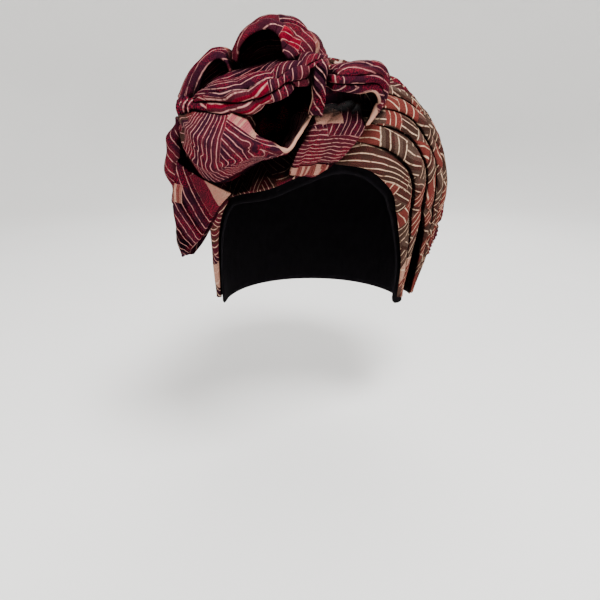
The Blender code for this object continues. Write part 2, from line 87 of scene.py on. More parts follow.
# The edge of the wrap round the brow and nape: azimuth, height on the head
HEM_LINE = (
    (0, 0.79),
    (14, 0.745),
    (28, 0.775),
    (42, 0.88),
    (52, 1.02),
    (60, 1.18),
    (67, 1.38),
    (74, 1.66),
    (81, 1.90),
    (90, 1.96),
    (104, 1.98),
    (180, 2.00),
    (255, 1.97),
    (275, 1.93),
    (284, 1.60),
    (294, 1.28),
    (305, 1.08),
    (315, 0.94),
    (325, 0.90),
    (343, 0.865),
)

# The pleats fan from the rosette to behind the ears, between a front line on the
# wrap's front edge and a back line on the bag: azimuth and height of each, from top to bottom
LEFT_SIDE_FAN = (
    # front azimuth, front height, back azimuth, back height
    (12, 0.745, 44, 0.34),
    (28, 0.775, 68, 0.46),
    (42, 0.88, 80, 0.62),
    (52, 1.02, 86, 0.80),
    (60, 1.18, 89.5, 1.03),
    (67, 1.38, 93, 1.28),
    (74, 1.66, 96, 1.57),
    (81, 1.90, 100, 1.93),
)
RIGHT_SIDE_FAN = (
    (-45, 0.935, -52, 0.36),
    (-50, 1.00, -74, 0.48),
    (-55, 1.08, -87, 0.66),
    (-60, 1.17, -94, 0.86),
    (-66, 1.28, -98, 1.08),
    (-71, 1.42, -101, 1.35),
    (-76, 1.60, -103, 1.62),
    (-85, 1.93, -106, 1.93),
)

# Each pleat's share of its fan: where it starts and ends at the top and at the bottom
LEFT_SIDE_PLEATS = (
    # start at top, end at top, start at bottom, end at bottom
    (0.00, 0.26, 0.00, 0.10),
    (0.26, 0.47, 0.10, 0.24),
    (0.47, 0.65, 0.72, 0.82),
    (0.65, 0.83, 0.82, 0.91),
    (0.83, 1.00, 0.91, 1.00),
)
RIGHT_SIDE_PLEATS = (
    (0.00, 0.25, 0.00, 0.25),
    (0.25, 0.50, 0.25, 0.50),
    (0.50, 0.75, 0.50, 0.75),
    (0.75, 1.00, 0.75, 1.00),
)

# How a pleat changes along its fan, as shares of the fan's length from its top
PLEAT_TURN_START = 0.45
PLEAT_TURN_LENGTH = 0.5
PLEAT_RISE_LENGTH = 0.2
PLEAT_FLAT_SHARE = 0.12

# The petals of the rosette. Each row is a section across the cloth through three points,
# its free lip, its crest and its root, as shares of the rosette's width, height and depth.
HOOD = (
    # lip side, rise, out, crest side, rise, out, root side, rise, out
    (-0.14, 0.27, 0.53, -0.17, 0.28, 0.36, -0.20, 0.24, 0.00),
    (-0.12, 0.33, 0.58, -0.14, 0.35, 0.33, -0.13, 0.29, -0.17),
    (-0.07, 0.37, 0.61, -0.08, 0.40, 0.33, -0.04, 0.31, -0.28),
    (-0.01, 0.38, 0.63, 0.00, 0.42, 0.36, 0.05, 0.31, -0.33),
    (0.03, 0.35, 0.66, 0.10, 0.41, 0.36, 0.13, 0.30, -0.28),
    (0.05, 0.29, 0.68, 0.17, 0.35, 0.36, 0.18, 0.26, -0.17),
    (0.08, 0.23, 0.67, 0.19, 0.27, 0.39, 0.18, 0.18, 0.00),
)
SIDE_LOOP = (
    (-0.31, 0.12, 0.50, -0.38, 0.14, 0.36, -0.36, 0.08, 0.00),
    (-0.29, 0.19, 0.51, -0.35, 0.20, 0.33, -0.33, 0.14, -0.11),
    (-0.26, 0.25, 0.51, -0.30, 0.26, 0.31, -0.27, 0.20, -0.17),
    (-0.22, 0.28, 0.50, -0.24, 0.31, 0.29, -0.21, 0.24, -0.20),
    (-0.19, 0.27, 0.49, -0.18, 0.32, 0.29, -0.15, 0.26, -0.17),
    (-0.17, 0.23, 0.49, -0.14, 0.28, 0.31, -0.13, 0.20, 0.00),
)
CROSS_PETAL = (
    (-0.31, 0.10, 0.64, -0.31, 0.11, 0.60, -0.33, 0.11, 0.44),
    (-0.23, 0.09, 0.78, -0.25, 0.14, 0.74, -0.28, 0.17, 0.39),
    (-0.14, 0.08, 0.87, -0.17, 0.16, 0.82, -0.20, 0.23, 0.30),
    (-0.05, 0.11, 0.89, -0.08, 0.18, 0.84, -0.10, 0.27, 0.24),
    (0.04, 0.16, 0.87, 0.02, 0.22, 0.82, 0.02, 0.30, 0.20),
    (0.12, 0.20, 0.80, 0.12, 0.26, 0.74, 0.12, 0.32, 0.20),
    (0.18, 0.24, 0.69, 0.20, 0.27, 0.60, 0.20, 0.29, 0.28),
)
BOWL_PETAL = (
    (-0.32, 0.09, 0.64, -0.36, 0.03, 0.62, -0.34, -0.06, 0.10),
    (-0.26, 0.08, 0.78, -0.31, -0.06, 0.85, -0.30, -0.19, 0.16),
    (-0.19, 0.07, 0.87, -0.23, -0.11, 0.95, -0.22, -0.20, 0.18),
    (-0.11, 0.06, 0.91, -0.14, -0.09, 0.96, -0.14, -0.16, 0.16),
    (-0.06, 0.01, 0.92, -0.06, -0.07, 0.93, -0.07, -0.11, 0.14),
    (0.00, -0.03, 0.89, 0.00, -0.07, 0.78, -0.01, -0.07, 0.12),
    (0.06, -0.05, 0.82, 0.04, -0.06, 0.62, 0.02, -0.04, 0.10),
    (0.10, 0.00, 0.73, 0.07, 0.00, 0.52, 0.04, 0.01, 0.08),
    (0.14, 0.08, 0.64, 0.10, 0.08, 0.46, 0.06, 0.06, 0.08),
)
FRONT_TAIL = (
    (-0.19, -0.21, 0.69, -0.38, -0.09, 0.61, -0.20, -0.13, 0.04),
    (-0.24, -0.27, 0.67, -0.40, -0.21, 0.58, -0.22, -0.23, 0.06),
    (-0.28, -0.34, 0.62, -0.41, -0.31, 0.50, -0.25, -0.31, 0.14),
    (-0.32, -0.41, 0.56, -0.42, -0.41, 0.43, -0.29, -0.39, 0.20),
    (-0.36, -0.46, 0.47, -0.42, -0.47, 0.38, -0.33, -0.46, 0.24),
    (-0.39, -0.50, 0.38, -0.41, -0.51, 0.33, -0.37, -0.51, 0.27),
)
BACK_FLAP = (
    (-0.37, 0.06, 0.46, -0.39, 0.06, 0.34, -0.31, 0.02, -0.26),
    (-0.38, -0.02, 0.49, -0.43, -0.03, 0.32, -0.32, -0.06, -0.30),
    (-0.38, -0.09, 0.51, -0.45, -0.12, 0.32, -0.33, -0.15, -0.32),
    (-0.37, -0.18, 0.49, -0.44, -0.21, 0.31, -0.33, -0.24, -0.30),
    (-0.35, -0.27, 0.44, -0.43, -0.29, 0.29, -0.33, -0.31, -0.20),
    (-0.34, -0.33, 0.40, -0.39, -0.34, 0.28, -0.33, -0.36, -0.06),
)
SIDE_BOW = (
    (0.18, 0.19, 0.64, 0.20, 0.22, 0.67, 0.25, 0.25, 0.28),
    (0.24, 0.17, 0.67, 0.26, 0.22, 0.69, 0.31, 0.28, 0.22),
    (0.32, 0.16, 0.60, 0.34, 0.23, 0.60, 0.38, 0.29, 0.11),
    (0.39, 0.17, 0.47, 0.42, 0.23, 0.42, 0.44, 0.28, -0.02),
    (0.42, 0.12, 0.36, 0.45, 0.17, 0.29, 0.47, 0.19, -0.11),
    (0.37, 0.04, 0.36, 0.41, 0.07, 0.22, 0.43, 0.10, -0.06),
)
BROW_TAIL = (
    (0.19, 0.10, 0.22, 0.28, 0.12, 0.20, 0.35, 0.11, 0.16),
    (0.16, 0.09, 0.44, 0.26, 0.10, 0.40, 0.35, 0.08, 0.31),
    (0.14, 0.05, 0.58, 0.24, 0.05, 0.53, 0.36, 0.02, 0.36),
    (0.12, -0.01, 0.60, 0.20, -0.02, 0.56, 0.31, -0.05, 0.38),
    (0.09, -0.07, 0.58, 0.16, -0.08, 0.51, 0.25, -0.11, 0.37),
    (0.06, -0.15, 0.49, 0.10, -0.16, 0.44, 0.16, -0.17, 0.36),
)
CENTRE_FOLD = (
    (0.16, 0.24, 0.79, 0.18, 0.25, 0.83, 0.20, 0.24, 0.79),
    (0.15, 0.19, 0.81, 0.17, 0.19, 0.85, 0.19, 0.18, 0.81),
    (0.15, 0.13, 0.78, 0.17, 0.13, 0.81, 0.19, 0.12, 0.77),
    (0.14, 0.08, 0.69, 0.16, 0.08, 0.72, 0.18, 0.07, 0.67),
)
PINCH_FOLD = (
    (-0.36, 0.13, 0.50, -0.34, 0.14, 0.64, -0.29, 0.12, 0.68),
    (-0.37, 0.10, 0.50, -0.35, 0.10, 0.68, -0.29, 0.10, 0.72),
    (-0.36, 0.06, 0.50, -0.34, 0.05, 0.64, -0.29, 0.08, 0.68),
)

# How finely the visible cloth is divided
PLEAT_ROWS = 110
BAG_RINGS = 100
LINING_RINGS = 64
LINING_COLUMNS = 180

# The small steps in azimuth and height by which the wrap's slope is measured
AZIMUTH_STEP = 0.6
HEIGHT_STEP = 0.01


def catmull(before, start, end, after, share):
    """The point at share of the way from start to end, on a smooth curve through all four."""
    return 0.5 * (
        2 * start
        + (end - before) * share
        + (2 * before - 5 * start + 4 * end - after) * share**2
        + (3 * start - before - 3 * end + after) * share**3
    )


def smooth_rows(rows, positions):
    """Rows at fractional positions in a table, on a smooth curve through its rows."""
    rows = np.array(rows, float)
    rows = np.vstack([2 * rows[0] - rows[1], rows, 2 * rows[-1] - rows[-2]])
    positions = np.asarray(positions, float)
    start = np.clip(positions.astype(int), 0, len(rows) - 4)
    share = (positions - start)[..., None]
    return catmull(*[rows[start + step] for step in range(4)], share)


def round_table(table, azimuth):
    """The values of a table whose first column is an azimuth, smoothly round the head."""
    rows = np.array(table, float)
    azimuth = np.asarray(azimuth, float) % 360
    after = np.searchsorted(rows[:, 0], azimuth, side="right")
    picked = []
    for step in (-2, -1, 0, 1):
        turns, index = np.divmod(after + step, len(rows))
        row = rows[index].copy()
        row[..., 0] += 360 * turns
        picked.append(row)
    share = (azimuth - picked[1][..., 0]) / (picked[2][..., 0] - picked[1][..., 0])
    return catmull(*picked, share[..., None])[..., 1:]


def stand_off(azimuth, height, fullness):
    """How far cloth of a given fullness stands off the head."""
    shares = round_table(FULLNESS, azimuth) * BAG_DEPTH
    heights = np.array((0.0,) + FULLNESS_HEIGHTS)
    values = np.concatenate([np.full(shares.shape[:-1] + (1,), CROWN_LIFT), shares], axis=-1)
    height = np.clip(height, 0, heights[-1])
    last = len(heights) - 1
    start = np.clip(np.searchsorted(heights, height, side="right") - 1, 0, last - 1)

    def value(index):
        return np.take_along_axis(values, index[..., None], axis=-1)[..., 0]

    share = (height - heights[start]) / (heights[start + 1] - heights[start])
    before = value(np.where(start == 0, 1, start - 1))
    after = value(np.minimum(start + 2, last))
    stand = catmull(before, value(start), value(start + 1), after, share)
    return HEAD_EASE + fullness * np.maximum(0, stand)


def base_point(azimuth, height, fullness=1.0):
    """The cloth's inner surface at azimuths in degrees and heights on the head."""
    azimuth, height = np.broadcast_arrays(np.asarray(azimuth, float), np.asarray(height, float))
    turn = np.radians(azimuth)
    east, north = np.sin(turn), -np.cos(turn)
    spread = np.hypot(east / (HEAD_WIDTH / 2), north / (HEAD_LENGTH / 2))
    stand = stand_off(azimuth, height, fullness)
    polar = np.minimum(height, 1) * np.pi / 2
    radius = 1 / np.hypot(spread * np.sin(polar), np.cos(polar) / CROWN_HEIGHT) + stand
    below = np.maximum(height - 1, 0)
    flat = radius * np.sin(polar)
    rise = radius * np.cos(polar) - NAPE_DROP * below
    return np.stack([east * flat, north * flat, rise], axis=-1)


def add_object(name, data):
    item = bpy.data.objects.new(name, data)
    bpy.context.scene.collection.objects.link(item)
    return item


def unit(vectors):
    return vectors / np.maximum(np.linalg.norm(vectors, axis=-1, keepdims=True), 1e-12)


def wrap_point(azimuth, height, lift, fullness=1.0):
    """Points that stand lift off that surface, square to it."""
    height = np.maximum(height, HEIGHT_STEP)
    east, west = [base_point(azimuth + s * AZIMUTH_STEP, height, fullness) for s in (1, -1)]
    low, high = [base_point(azimuth, height + s * HEIGHT_STEP, fullness) for s in (1, -1)]
    normal = unit(np.cross(low - high, east - west))
    return base_point(azimuth, height, fullness) + normal * np.asarray(lift)[..., None]


def clearance(points):
    """How far points stand off the wrap's inner surface, below zero inside it."""
    x, y, z = points[..., 0], points[..., 1], points[..., 2]
    azimuth = np.degrees(np.arctan2(x, -y))
    flat = np.hypot(x, y)
    upper = np.arctan2(flat, np.maximum(z, 0)) / (np.pi / 2)
    height = np.where(z > 0, upper, 1 - z / NAPE_DROP)
    reach = np.linalg.norm(base_point(azimuth, np.minimum(height, 2)) * [1, 1, 0], axis=-1)
    whole = np.linalg.norm(base_point(azimuth, height), axis=-1)
    return np.where(z > 0, np.linalg.norm(points, axis=-1) - whole, flat - reach)


def hem_height(azimuth):
    return round_table(HEM_LINE, azimuth)[..., 0]


def waves(points, size, seed, octaves=3):
    """Smooth noise from about -1 to 1 over points, with waves of a given size in metres."""
    flat = np.asarray(points, float).reshape(-1, 3) / size
    shift = Vector((seed * 7.31, seed * 3.17, seed * 5.53))
    values = [noise.fractal(Vector(p) + shift, 1.0, 2.0, octaves) for p in flat]
    return np.array(values).reshape(np.shape(points)[:-1])


def smoothstep(low, high, value):
    share = np.clip((value - low) / (high - low), 0, 1)
    return share * share * (3 - 2 * share)


def grid_normals(grid, closed=False):
    if closed:
        across = np.roll(grid, -1, axis=1) - np.roll(grid, 1, axis=1)
    else:
        across = np.gradient(grid, axis=1)
    return unit(np.cross(np.gradient(grid, axis=0), across))


def lengths(grid, axis):
    """Length along each line of a grid, from its start."""
    steps = np.linalg.norm(np.diff(grid, axis=axis), axis=-1)
    first = np.zeros_like(np.take(steps, [0], axis=axis))
    return np.cumsum(np.concatenate([first, steps], axis=axis), axis=axis)


def sheet_uv(grid):
    """Metres along and across a sheet: u down its rows and v from its first column."""
    return np.stack([lengths(grid, 0), lengths(grid, 1)], axis=-1)


# Petals whose pattern follows their gathers, as if the cloth's threads ran along them
THREADED_PETALS = ("cross_petal",)
FLAT_CELLS = 25
FLAT_ROUNDS = 1500
FLAT_PULL = 1.6


def flattened(grid):
    """Where each point of a curved sheet lies once the cloth is laid flat, in metres.

    A coarse net of the sheet's own lengths and diagonals is relaxed in the plane. The first
    row's first point is the origin and the sheet runs along the first axis.
    """
    rows, columns = (min(n, FLAT_CELLS) for n in grid.shape[:2])
    sizes = zip(grid.shape, (rows, columns))
    picks = [np.linspace(0, n - 1, m).round().astype(int) for n, m in sizes]
    coarse = grid[np.ix_(*picks)]
    flat = sheet_uv(coarse)
    threads = (
        (np.s_[:-1, :], np.s_[1:, :]),
        (np.s_[:, :-1], np.s_[:, 1:]),
        (np.s_[:-1, :-1], np.s_[1:, 1:]),
        (np.s_[1:, :-1], np.s_[:-1, 1:]),
    )
    rest = [np.linalg.norm(coarse[a] - coarse[b], axis=-1) for a, b in threads]
    count = np.zeros((rows, columns, 1))
    for a, b in threads:
        count[a] += 1
        count[b] += 1
    for _ in range(FLAT_ROUNDS):
        move = np.zeros_like(flat)
        for (a, b), length in zip(threads, rest):
            gap = flat[b] - flat[a]
            now = np.maximum(np.linalg.norm(gap, axis=-1), 1e-9)
            pull = gap * ((now - length) / now / 2)[..., None]
            move[a] += pull
            move[b] -= pull
        flat += FLAT_PULL * move / count
    along = (flat[-1] - flat[0]).mean(axis=0)
    turn = math.atan2(along[1], along[0])
    spin = np.array([[math.cos(turn), -math.sin(turn)], [math.sin(turn), math.cos(turn)]])
    flat = (flat - flat[0, 0]) @ spin
    down = np.interp(np.arange(grid.shape[0]), picks[0], np.arange(rows))
    down = smooth_rows(flat.reshape(rows, -1), down)
    down = down.reshape(-1, columns, 2).transpose(1, 0, 2).reshape(columns, -1)
    both = smooth_rows(down, np.interp(np.arange(grid.shape[1]), picks[1], np.arange(columns)))
    return both.reshape(grid.shape[1], -1, 2).transpose(1, 0, 2)


def border(rows, columns):
    """The cells once round the edge of a grid, and the cell just inside each."""
    top = [(0, j) for j in range(columns)]
    right = [(i, columns - 1) for i in range(1, rows)]
    low = [(rows - 1, j) for j in range(columns - 2, -1, -1)]
    left = [(i, 0) for i in range(rows - 2, 0, -1)]
    cells = top + right + low + left
    inside = [(min(max(i, 1), rows - 2), min(max(j, 1), columns - 2)) for i, j in cells]
    return cells, inside


def sheet_piece(name, grid, uv, wall, materials, closed=False, face=1, inward=None):
    """A sheet of cloth with a front, a back and a rounded edge, as a closed mesh.

    A closed sheet runs all round the head and is filled in at the crown. inward is each
    point's distance from the sheet's free edge, for its hem.
    """
    rows, columns = grid.shape[:2]
    inward = np.full((rows, columns), 1.0) if inward is None else inward
    depths = [inward.ravel(), inward.ravel()]
    normals = grid_normals(grid, closed) * face
    half = np.asarray(wall)[..., None] / 2 if np.ndim(wall) else wall / 2
    front, back = grid + normals * half, grid - normals * half
    count = rows * columns
    index = np.arange(count).reshape(rows, columns)
    points = [front.reshape(-1, 3), back.reshape(-1, 3)]
    places = [uv.reshape(-1, 2), uv.reshape(-1, 2)]
    ahead = np.roll(index, -1, axis=1) if closed else index[:, 1:]
    here = index if closed else index[:, :-1]
    quads = np.stack([here[:-1], ahead[:-1], ahead[1:], here[1:]], axis=-1).reshape(-1, 4)
    faces = quads.tolist() + (quads[:, ::-1] + count).tolist()
    kinds = [0] * len(quads) + [1] * len(quads)
    if closed:
        cells = [(rows - 1, j) for j in range(columns)]
        inside = [(rows - 2, j) for j in range(columns)]
    else:
        cells, inside = border(rows, columns)
    start = 2 * count
    rim = []
    for cell, near in zip(cells, inside):
        thick = np.linalg.norm(front[cell] - grid[cell])
        rim.append(grid[cell] + unit(grid[cell] - grid[near]) * thick)
    points.append(np.array(rim))
    places.append(np.array([uv[cell] for cell in cells]))
    depths.append(np.array([inward[cell] for cell in cells]))
    for k, cell in enumerate(cells):
        after = cells[(k + 1) % len(cells)]
        a, b = index[cell], index[after]
        c, d = start + k, start + (k + 1) % len(cells)
        faces += [[a, b, d, c], [c, d, b + count, a + count]]
        kinds += [0, 0]
    start += len(cells)
    if closed:
        for side, layer in enumerate((front, back)):
            points.append(layer[0].mean(axis=0)[None])
            places.append(np.zeros((1, 2)))
            depths.append(np.ones(1))
            for j in range(columns):
                k = (j + 1) % columns
                faces.append([start, index[0, j] + side * count, index[0, k] + side * count])
                kinds.append(side)
            start += 1
    mesh = bpy.data.meshes.new(name)
    mesh.from_pydata(np.concatenate(points).tolist(), [], faces)
    mesh.update()
    places = np.concatenate(places)
    corner = np.empty(len(mesh.loops), int)
    mesh.loops.foreach_get("vertex_index", corner)
    mesh.uv_layers.new(name="UVMap").data.foreach_set("uv", places[corner].ravel())
    mesh.polygons.foreach_set("material_index", kinds)
    kept = mesh.attributes.new("inward", "FLOAT", "POINT")
    kept.data.foreach_set("value", np.concatenate(depths))
    for material in materials:
        mesh.materials.append(material)
    made = bmesh.new()
    made.from_mesh(mesh)
    bmesh.ops.recalc_face_normals(made, faces=made.faces)
    made.to_mesh(mesh)
    made.free()
    mesh.shade_smooth()
    return add_object(name, mesh)


def declare(piece, nodes):
    """Hangs a cloth piece on the root body and hides the solids from model.glb that it stands for."""
    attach(piece, "root")
    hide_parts(*nodes)


# The cloth of the visible petals, thinner than the solid that stands for it, with a turned hem
SCENE_WALL = 0.0014
HEM_WIDTH = 0.005
HEM_EXTRA = 0.0007
PETAL_SINK = 0.0008
LIP_START = -0.018
PROBE_STEPS = 90
REACH_BLUR = 9
FOLD_WANDER = 0.25
ROOT_FADE = (0.86, 0.97)
PINCH_FADE = 0.25
LIP_FADE = 0.25
CRUMPLE = 0.0020
CRUMPLE_REST = 0.35
CRUMPLE_SIZE = 0.030
FINE_CRUMPLE = 0.0004
FINE_CRUMPLE_SIZE = 0.008

# Folds in each petal. The columns are folds along and across it, height, power of the crest's
# curve, and how strongly they show at the first and last section, at the lip and at the root.
PETAL_FOLDS = {
    "hood_petal": (
        (0.5, 3.4, 0.0040, 0.8, 1.2, 0.8, 0.5, 1.0, 1),
        (5.0, 1.0, 0.0012, 0.8, 0.0, 1.5, 1.2, 0.4, 2),
    ),
    "side_loop": ((0.5, 3.0, 0.0036, 0.8, 1.2, 0.8, 0.6, 1.0, 3),),
    "cross_petal": (
        (0.8, 3.6, 0.0062, 0.7, 1.2, 0.8, 0.9, 0.5, 4),
        (5.5, 1.2, 0.0026, 0.9, 0.0, 1.7, 1.3, 0.3, 5),
    ),
    "bowl_petal": (
        (0.4, 4.0, 0.0034, 0.8, 1.2, 0.2, 0.2, 1.2, 6),
        (3.0, 0.5, 0.0012, 0.9, 0.8, 1.0, 1.0, 0.5, 7),
    ),
    "front_tail": ((0.4, 2.6, 0.0030, 0.8, 1.2, 0.7, 0.4, 1.0, 8),),
    "back_flap": ((3.6, 0.9, 0.0026, 1.3, 1.0, 1.0, 1.0, 0.5, 9),),
    "side_bow": ((0.3, 4.6, 0.0044, 0.8, 1.4, 0.7, 0.7, 1.0, 10),),
    "brow_tail": ((0.4, 2.4, 0.0022, 0.8, 1.4, 0.5, 0.6, 1.0, 11),),
    "centre_fold": ((0.3, 1.0, 0.0008, 0.8, 1.0, 1.0, 1.0, 1.0, 12),),
    "pinch_fold": ((0.5, 5.0, 0.0018, 0.8, 1.0, 1.0, 1.0, 1.0, 13),),
}
PETALS = (
    # name, table, cells along, cells across, side that the cloth's face is on
    ("centre_fold", CENTRE_FOLD, 60, 14, 1),
    ("bowl_petal", BOWL_PETAL, 150, 80, -1),
    ("cross_petal", CROSS_PETAL, 130, 66, 1),
    ("hood_petal", HOOD, 130, 80, 1),
    ("side_bow", SIDE_BOW, 110, 60, 1),
    ("brow_tail", BROW_TAIL, 90, 44, 1),
    ("side_loop", SIDE_LOOP, 100, 60, 1),
    ("front_tail", FRONT_TAIL, 100, 60, -1),
    ("back_flap", BACK_FLAP, 90, 56, -1),
    ("pinch_fold", PINCH_FOLD, 50, 40, 1),
)


def rosette_point(shares):
    """Points of the rosette from their shares of its width, height and depth."""
    size = np.array([ROSETTE_WIDTH, -ROSETTE_DEPTH, ROSETTE_HEIGHT])
    seat = np.array([ROSETTE_SIDE, ROSETTE_SEAT - HEAD_LENGTH / 2, CROWN_HEIGHT - ROSETTE_DROP])
    return seat + shares[..., [0, 2, 1]] * size


def section_grid(sections, positions, across):
    """Points through a petal's table at fractional rows and at shares from lip to root."""
    rows = smooth_rows(sections, positions)[:, None]
    lip, crest, root = rows[..., :3], rows[..., 3:6], rows[..., 6:]
    v = across[..., None]
    shares = lip * (1 - v) * (1 - 2 * v) + crest * 4 * v * (1 - v) + root * v * (2 * v - 1)
    return rosette_point(shares)


def seated_grid(sections, along, across):
    """A petal's middle surface, from its lip down to where it meets the wrap."""
    positions = np.linspace(0, len(sections) - 1, along + 1)
    probe = np.linspace(0, 1, PROBE_STEPS + 1)
    above = clearance(section_grid(sections, positions, np.tile(probe, (along + 1, 1))))
    above = above - (SEAT_GAP + CLOTH_WALL - PETAL_SINK)
    reach = np.ones(along + 1)
    for i, line in enumerate(above):
        inside = [k for k in range(PROBE_STEPS // 3, PROBE_STEPS) if line[k] > 0 >= line[k + 1]]
        if inside:
            k = inside[0]
            reach[i] = probe[k] + (probe[k + 1] - probe[k]) * line[k] / (line[k] - line[k + 1])
    kernel = np.ones(REACH_BLUR) / REACH_BLUR
    padded = np.pad(reach, REACH_BLUR // 2, mode="edge")
    smooth = np.convolve(padded, kernel, mode="valid")
    reach = np.maximum(reach, smooth)
    shares = LIP_START + (reach[:, None] - LIP_START) * np.linspace(0, 1, across + 1)
    return section_grid(sections, positions, shares)


def fold_height(u, v, folds):
    """How far folds raise a sheet. u and v run from 0 to 1 along and across it."""
    height = np.zeros_like(u)
    for row in folds:
        along, across, tall, power, first, last, lip, root, seed = row
        place = np.stack([u * 3, v * 3, np.zeros_like(u)], axis=-1)
        phase = along * u + across * v + FOLD_WANDER * waves(place, 1.0, seed, 1)
        crest = np.abs(np.sin(np.pi * phase)) ** power - 0.6
        height += tall * crest * (first + (last - first) * u) * (lip + (root - lip) * v)
    return height


def make_petal(name, sections, along, across, face, look):
    """A petal of the rosette, folded and crumpled, with a hem along its lip."""
    base = seated_grid(sections, along, across)
    u, v = np.meshgrid(np.linspace(0, 1, along + 1), np.linspace(0, 1, across + 1), indexing="ij")
    lift = fold_height(u, v, PETAL_FOLDS[name])
    seed = float(sum(map(ord, name)) % 23)
    lift += CRUMPLE * (CRUMPLE_REST - np.abs(waves(base, CRUMPLE_SIZE, seed, 2)))
    lift += FINE_CRUMPLE * waves(base, FINE_CRUMPLE_SIZE, seed + 1, 2)
    lift *= 1 - smoothstep(*ROOT_FADE, v)
    lift *= np.clip(smoothstep(0, PINCH_FADE, u) + smoothstep(0, LIP_FADE, v), 0, 1)
    grid = base + grid_normals(base) * lift[..., None]
    uv = sheet_uv(base) if name in THREADED_PETALS else flattened(base)
    inward = lengths(base, 1)
    wall = SCENE_WALL + HEM_EXTRA * (1 - smoothstep(HEM_WIDTH * 0.7, HEM_WIDTH, inward))
    materials = cloth_materials(name, look)
    piece = sheet_piece(name + "_cloth", grid, uv, wall, materials, face=face, inward=inward)
    declare(piece, [name])
    return piece


def fan_points(fan, across, along):
    """Azimuths and heights at shares across and along a fan of pleats."""
    rows = smooth_rows(fan, along * (len(fan) - 1))
    across = across[..., None]
    return rows[..., :2] * (1 - across) + rows[..., 2:] * across


def pleat_span(pleat, along):
    """Where a pleat starts and ends across its fan, as it runs from top to bottom."""
    start_top, end_top, start_low, end_low = pleat
    share = smoothstep(0, 1, (along - PLEAT_TURN_START) / PLEAT_TURN_LENGTH)
    return start_top + (start_low - start_top) * share, end_top + (end_low - end_top) * share


# The section of a knife pleat: its front edge hangs over the pleat before it and its back goes
# down under the next one. Across is a share of the pleat's width and rise of its height.
PLEAT_PROFILE = (
    # across, rise
    (0.10, 0.00),
    (-0.02, 0.22),
    (-0.06, 0.55),
    (-0.01, 0.86),
    (0.12, 1.00),
    (0.32, 1.02),
    (0.54, 0.90),
    (0.76, 0.62),
    (0.94, 0.26),
    (1.06, 0.02),
)
PLEAT_CELLS = 26
PLEAT_TALL = 0.0075
PLEAT_CRUMPLE = 0.0009
PLEAT_CRUMPLE_SIZE = 0.016
PLEAT_SWAY = 0.06
PLEAT_SWAY_SIZE = 0.030


def pleat_group(name, fan, pleats, nodes, seed, face):
    """Neighbouring pleats as one sheet of cloth, which goes down between them."""
    along = np.linspace(0, 1, PLEAT_ROWS + 1)
    profile = smooth_rows(PLEAT_PROFILE, np.linspace(0, len(PLEAT_PROFILE) - 1, PLEAT_CELLS + 1))
    swell = np.minimum(1, PLEAT_FLAT_SHARE + along / PLEAT_RISE_LENGTH)
    across, rise, strip = [], [], []
    for k, pleat in enumerate(pleats):
        start, end = pleat_span(pleat, along)
        low = wrap_point(*np.moveaxis(fan_points(fan, start, along), -1, 0), np.zeros_like(along))
        high = wrap_point(*np.moveaxis(fan_points(fan, end, along), -1, 0), np.zeros_like(along))
        width = np.linalg.norm(high - low, axis=-1)
        tall = PLEAT_TALL * swell * np.minimum(1, width / (2 * PLEAT_TALL))
        rows = profile if k == len(pleats) - 1 else profile[:-1]
        sway = PLEAT_SWAY * waves(low, PLEAT_SWAY_SIZE, seed + k, 1)[:, None]
        share = rows[:, 0] + sway * np.sin(np.pi * np.clip(rows[:, 0], 0, 1))
        across.append(start[:, None] + (end - start)[:, None] * share)
        rise.append(tall[:, None] * rows[:, 1])
        strip.append(k + rows[:, 0] + np.zeros((len(along), 1)))
    across, rise = np.concatenate(across, axis=1), np.concatenate(rise, axis=1)
    places = fan_points(fan, across, np.broadcast_to(along[:, None], across.shape))
    lift = SEAT_GAP + SCENE_WALL / 2 + np.maximum(rise, 0)
    grid = wrap_point(places[..., 0], places[..., 1], lift)
    soft = smoothstep(0, PLEAT_TALL, rise)
    grain = PLEAT_CRUMPLE * waves(grid, PLEAT_CRUMPLE_SIZE, seed + 5, 3)
    grid = grid + grid_normals(grid) * (grain * soft)[..., None]
    materials = cloth_materials(name, name)
    piece = sheet_piece(name, grid, sheet_uv(grid), SCENE_WALL, materials, face=face)
    declare(piece, nodes)
    return piece


def moved_line(line, distance):
    """A line of azimuths and heights, moved sideways over the wrap by a distance."""
    line = np.array(line, float)
    azimuth, height = line[:, 0], line[:, 1]
    flat = np.zeros(len(line))
    here = wrap_point(azimuth, height, flat)
    turned = wrap_point(azimuth + AZIMUTH_STEP, height, flat)
    lowered = wrap_point(azimuth, height + HEIGHT_STEP, flat)
    degree = np.linalg.norm(turned - here, axis=-1) / AZIMUTH_STEP
    step = np.linalg.norm(lowered - here, axis=-1) / HEIGHT_STEP
    slope = np.gradient(line, axis=0)
    across, down = slope[:, 0] * degree, slope[:, 1] * step
    share = distance / np.hypot(across, down)
    return np.stack([azimuth + share * down / degree, height - share * across / step], axis=-1)


BAG_TOP_CELLS = 20
BAG_BACK_CELLS = 60
BAG_NAPE_CELLS = 110
BAG_BROW_CELLS = 40


def bag_side(fan, turn):
    """The bag's edge along one fan of pleats, up over the fan's top and down its back."""
    top = np.linspace(0, 1, BAG_TOP_CELLS, endpoint=False)
    back = np.linspace(0, 1, BAG_BACK_CELLS + 1)
    line = np.concatenate(
        [fan_points(fan, top, np.zeros_like(top)), fan_points(fan, np.ones_like(back), back)]
    )
    return moved_line(line, turn * FOLD_GAP)


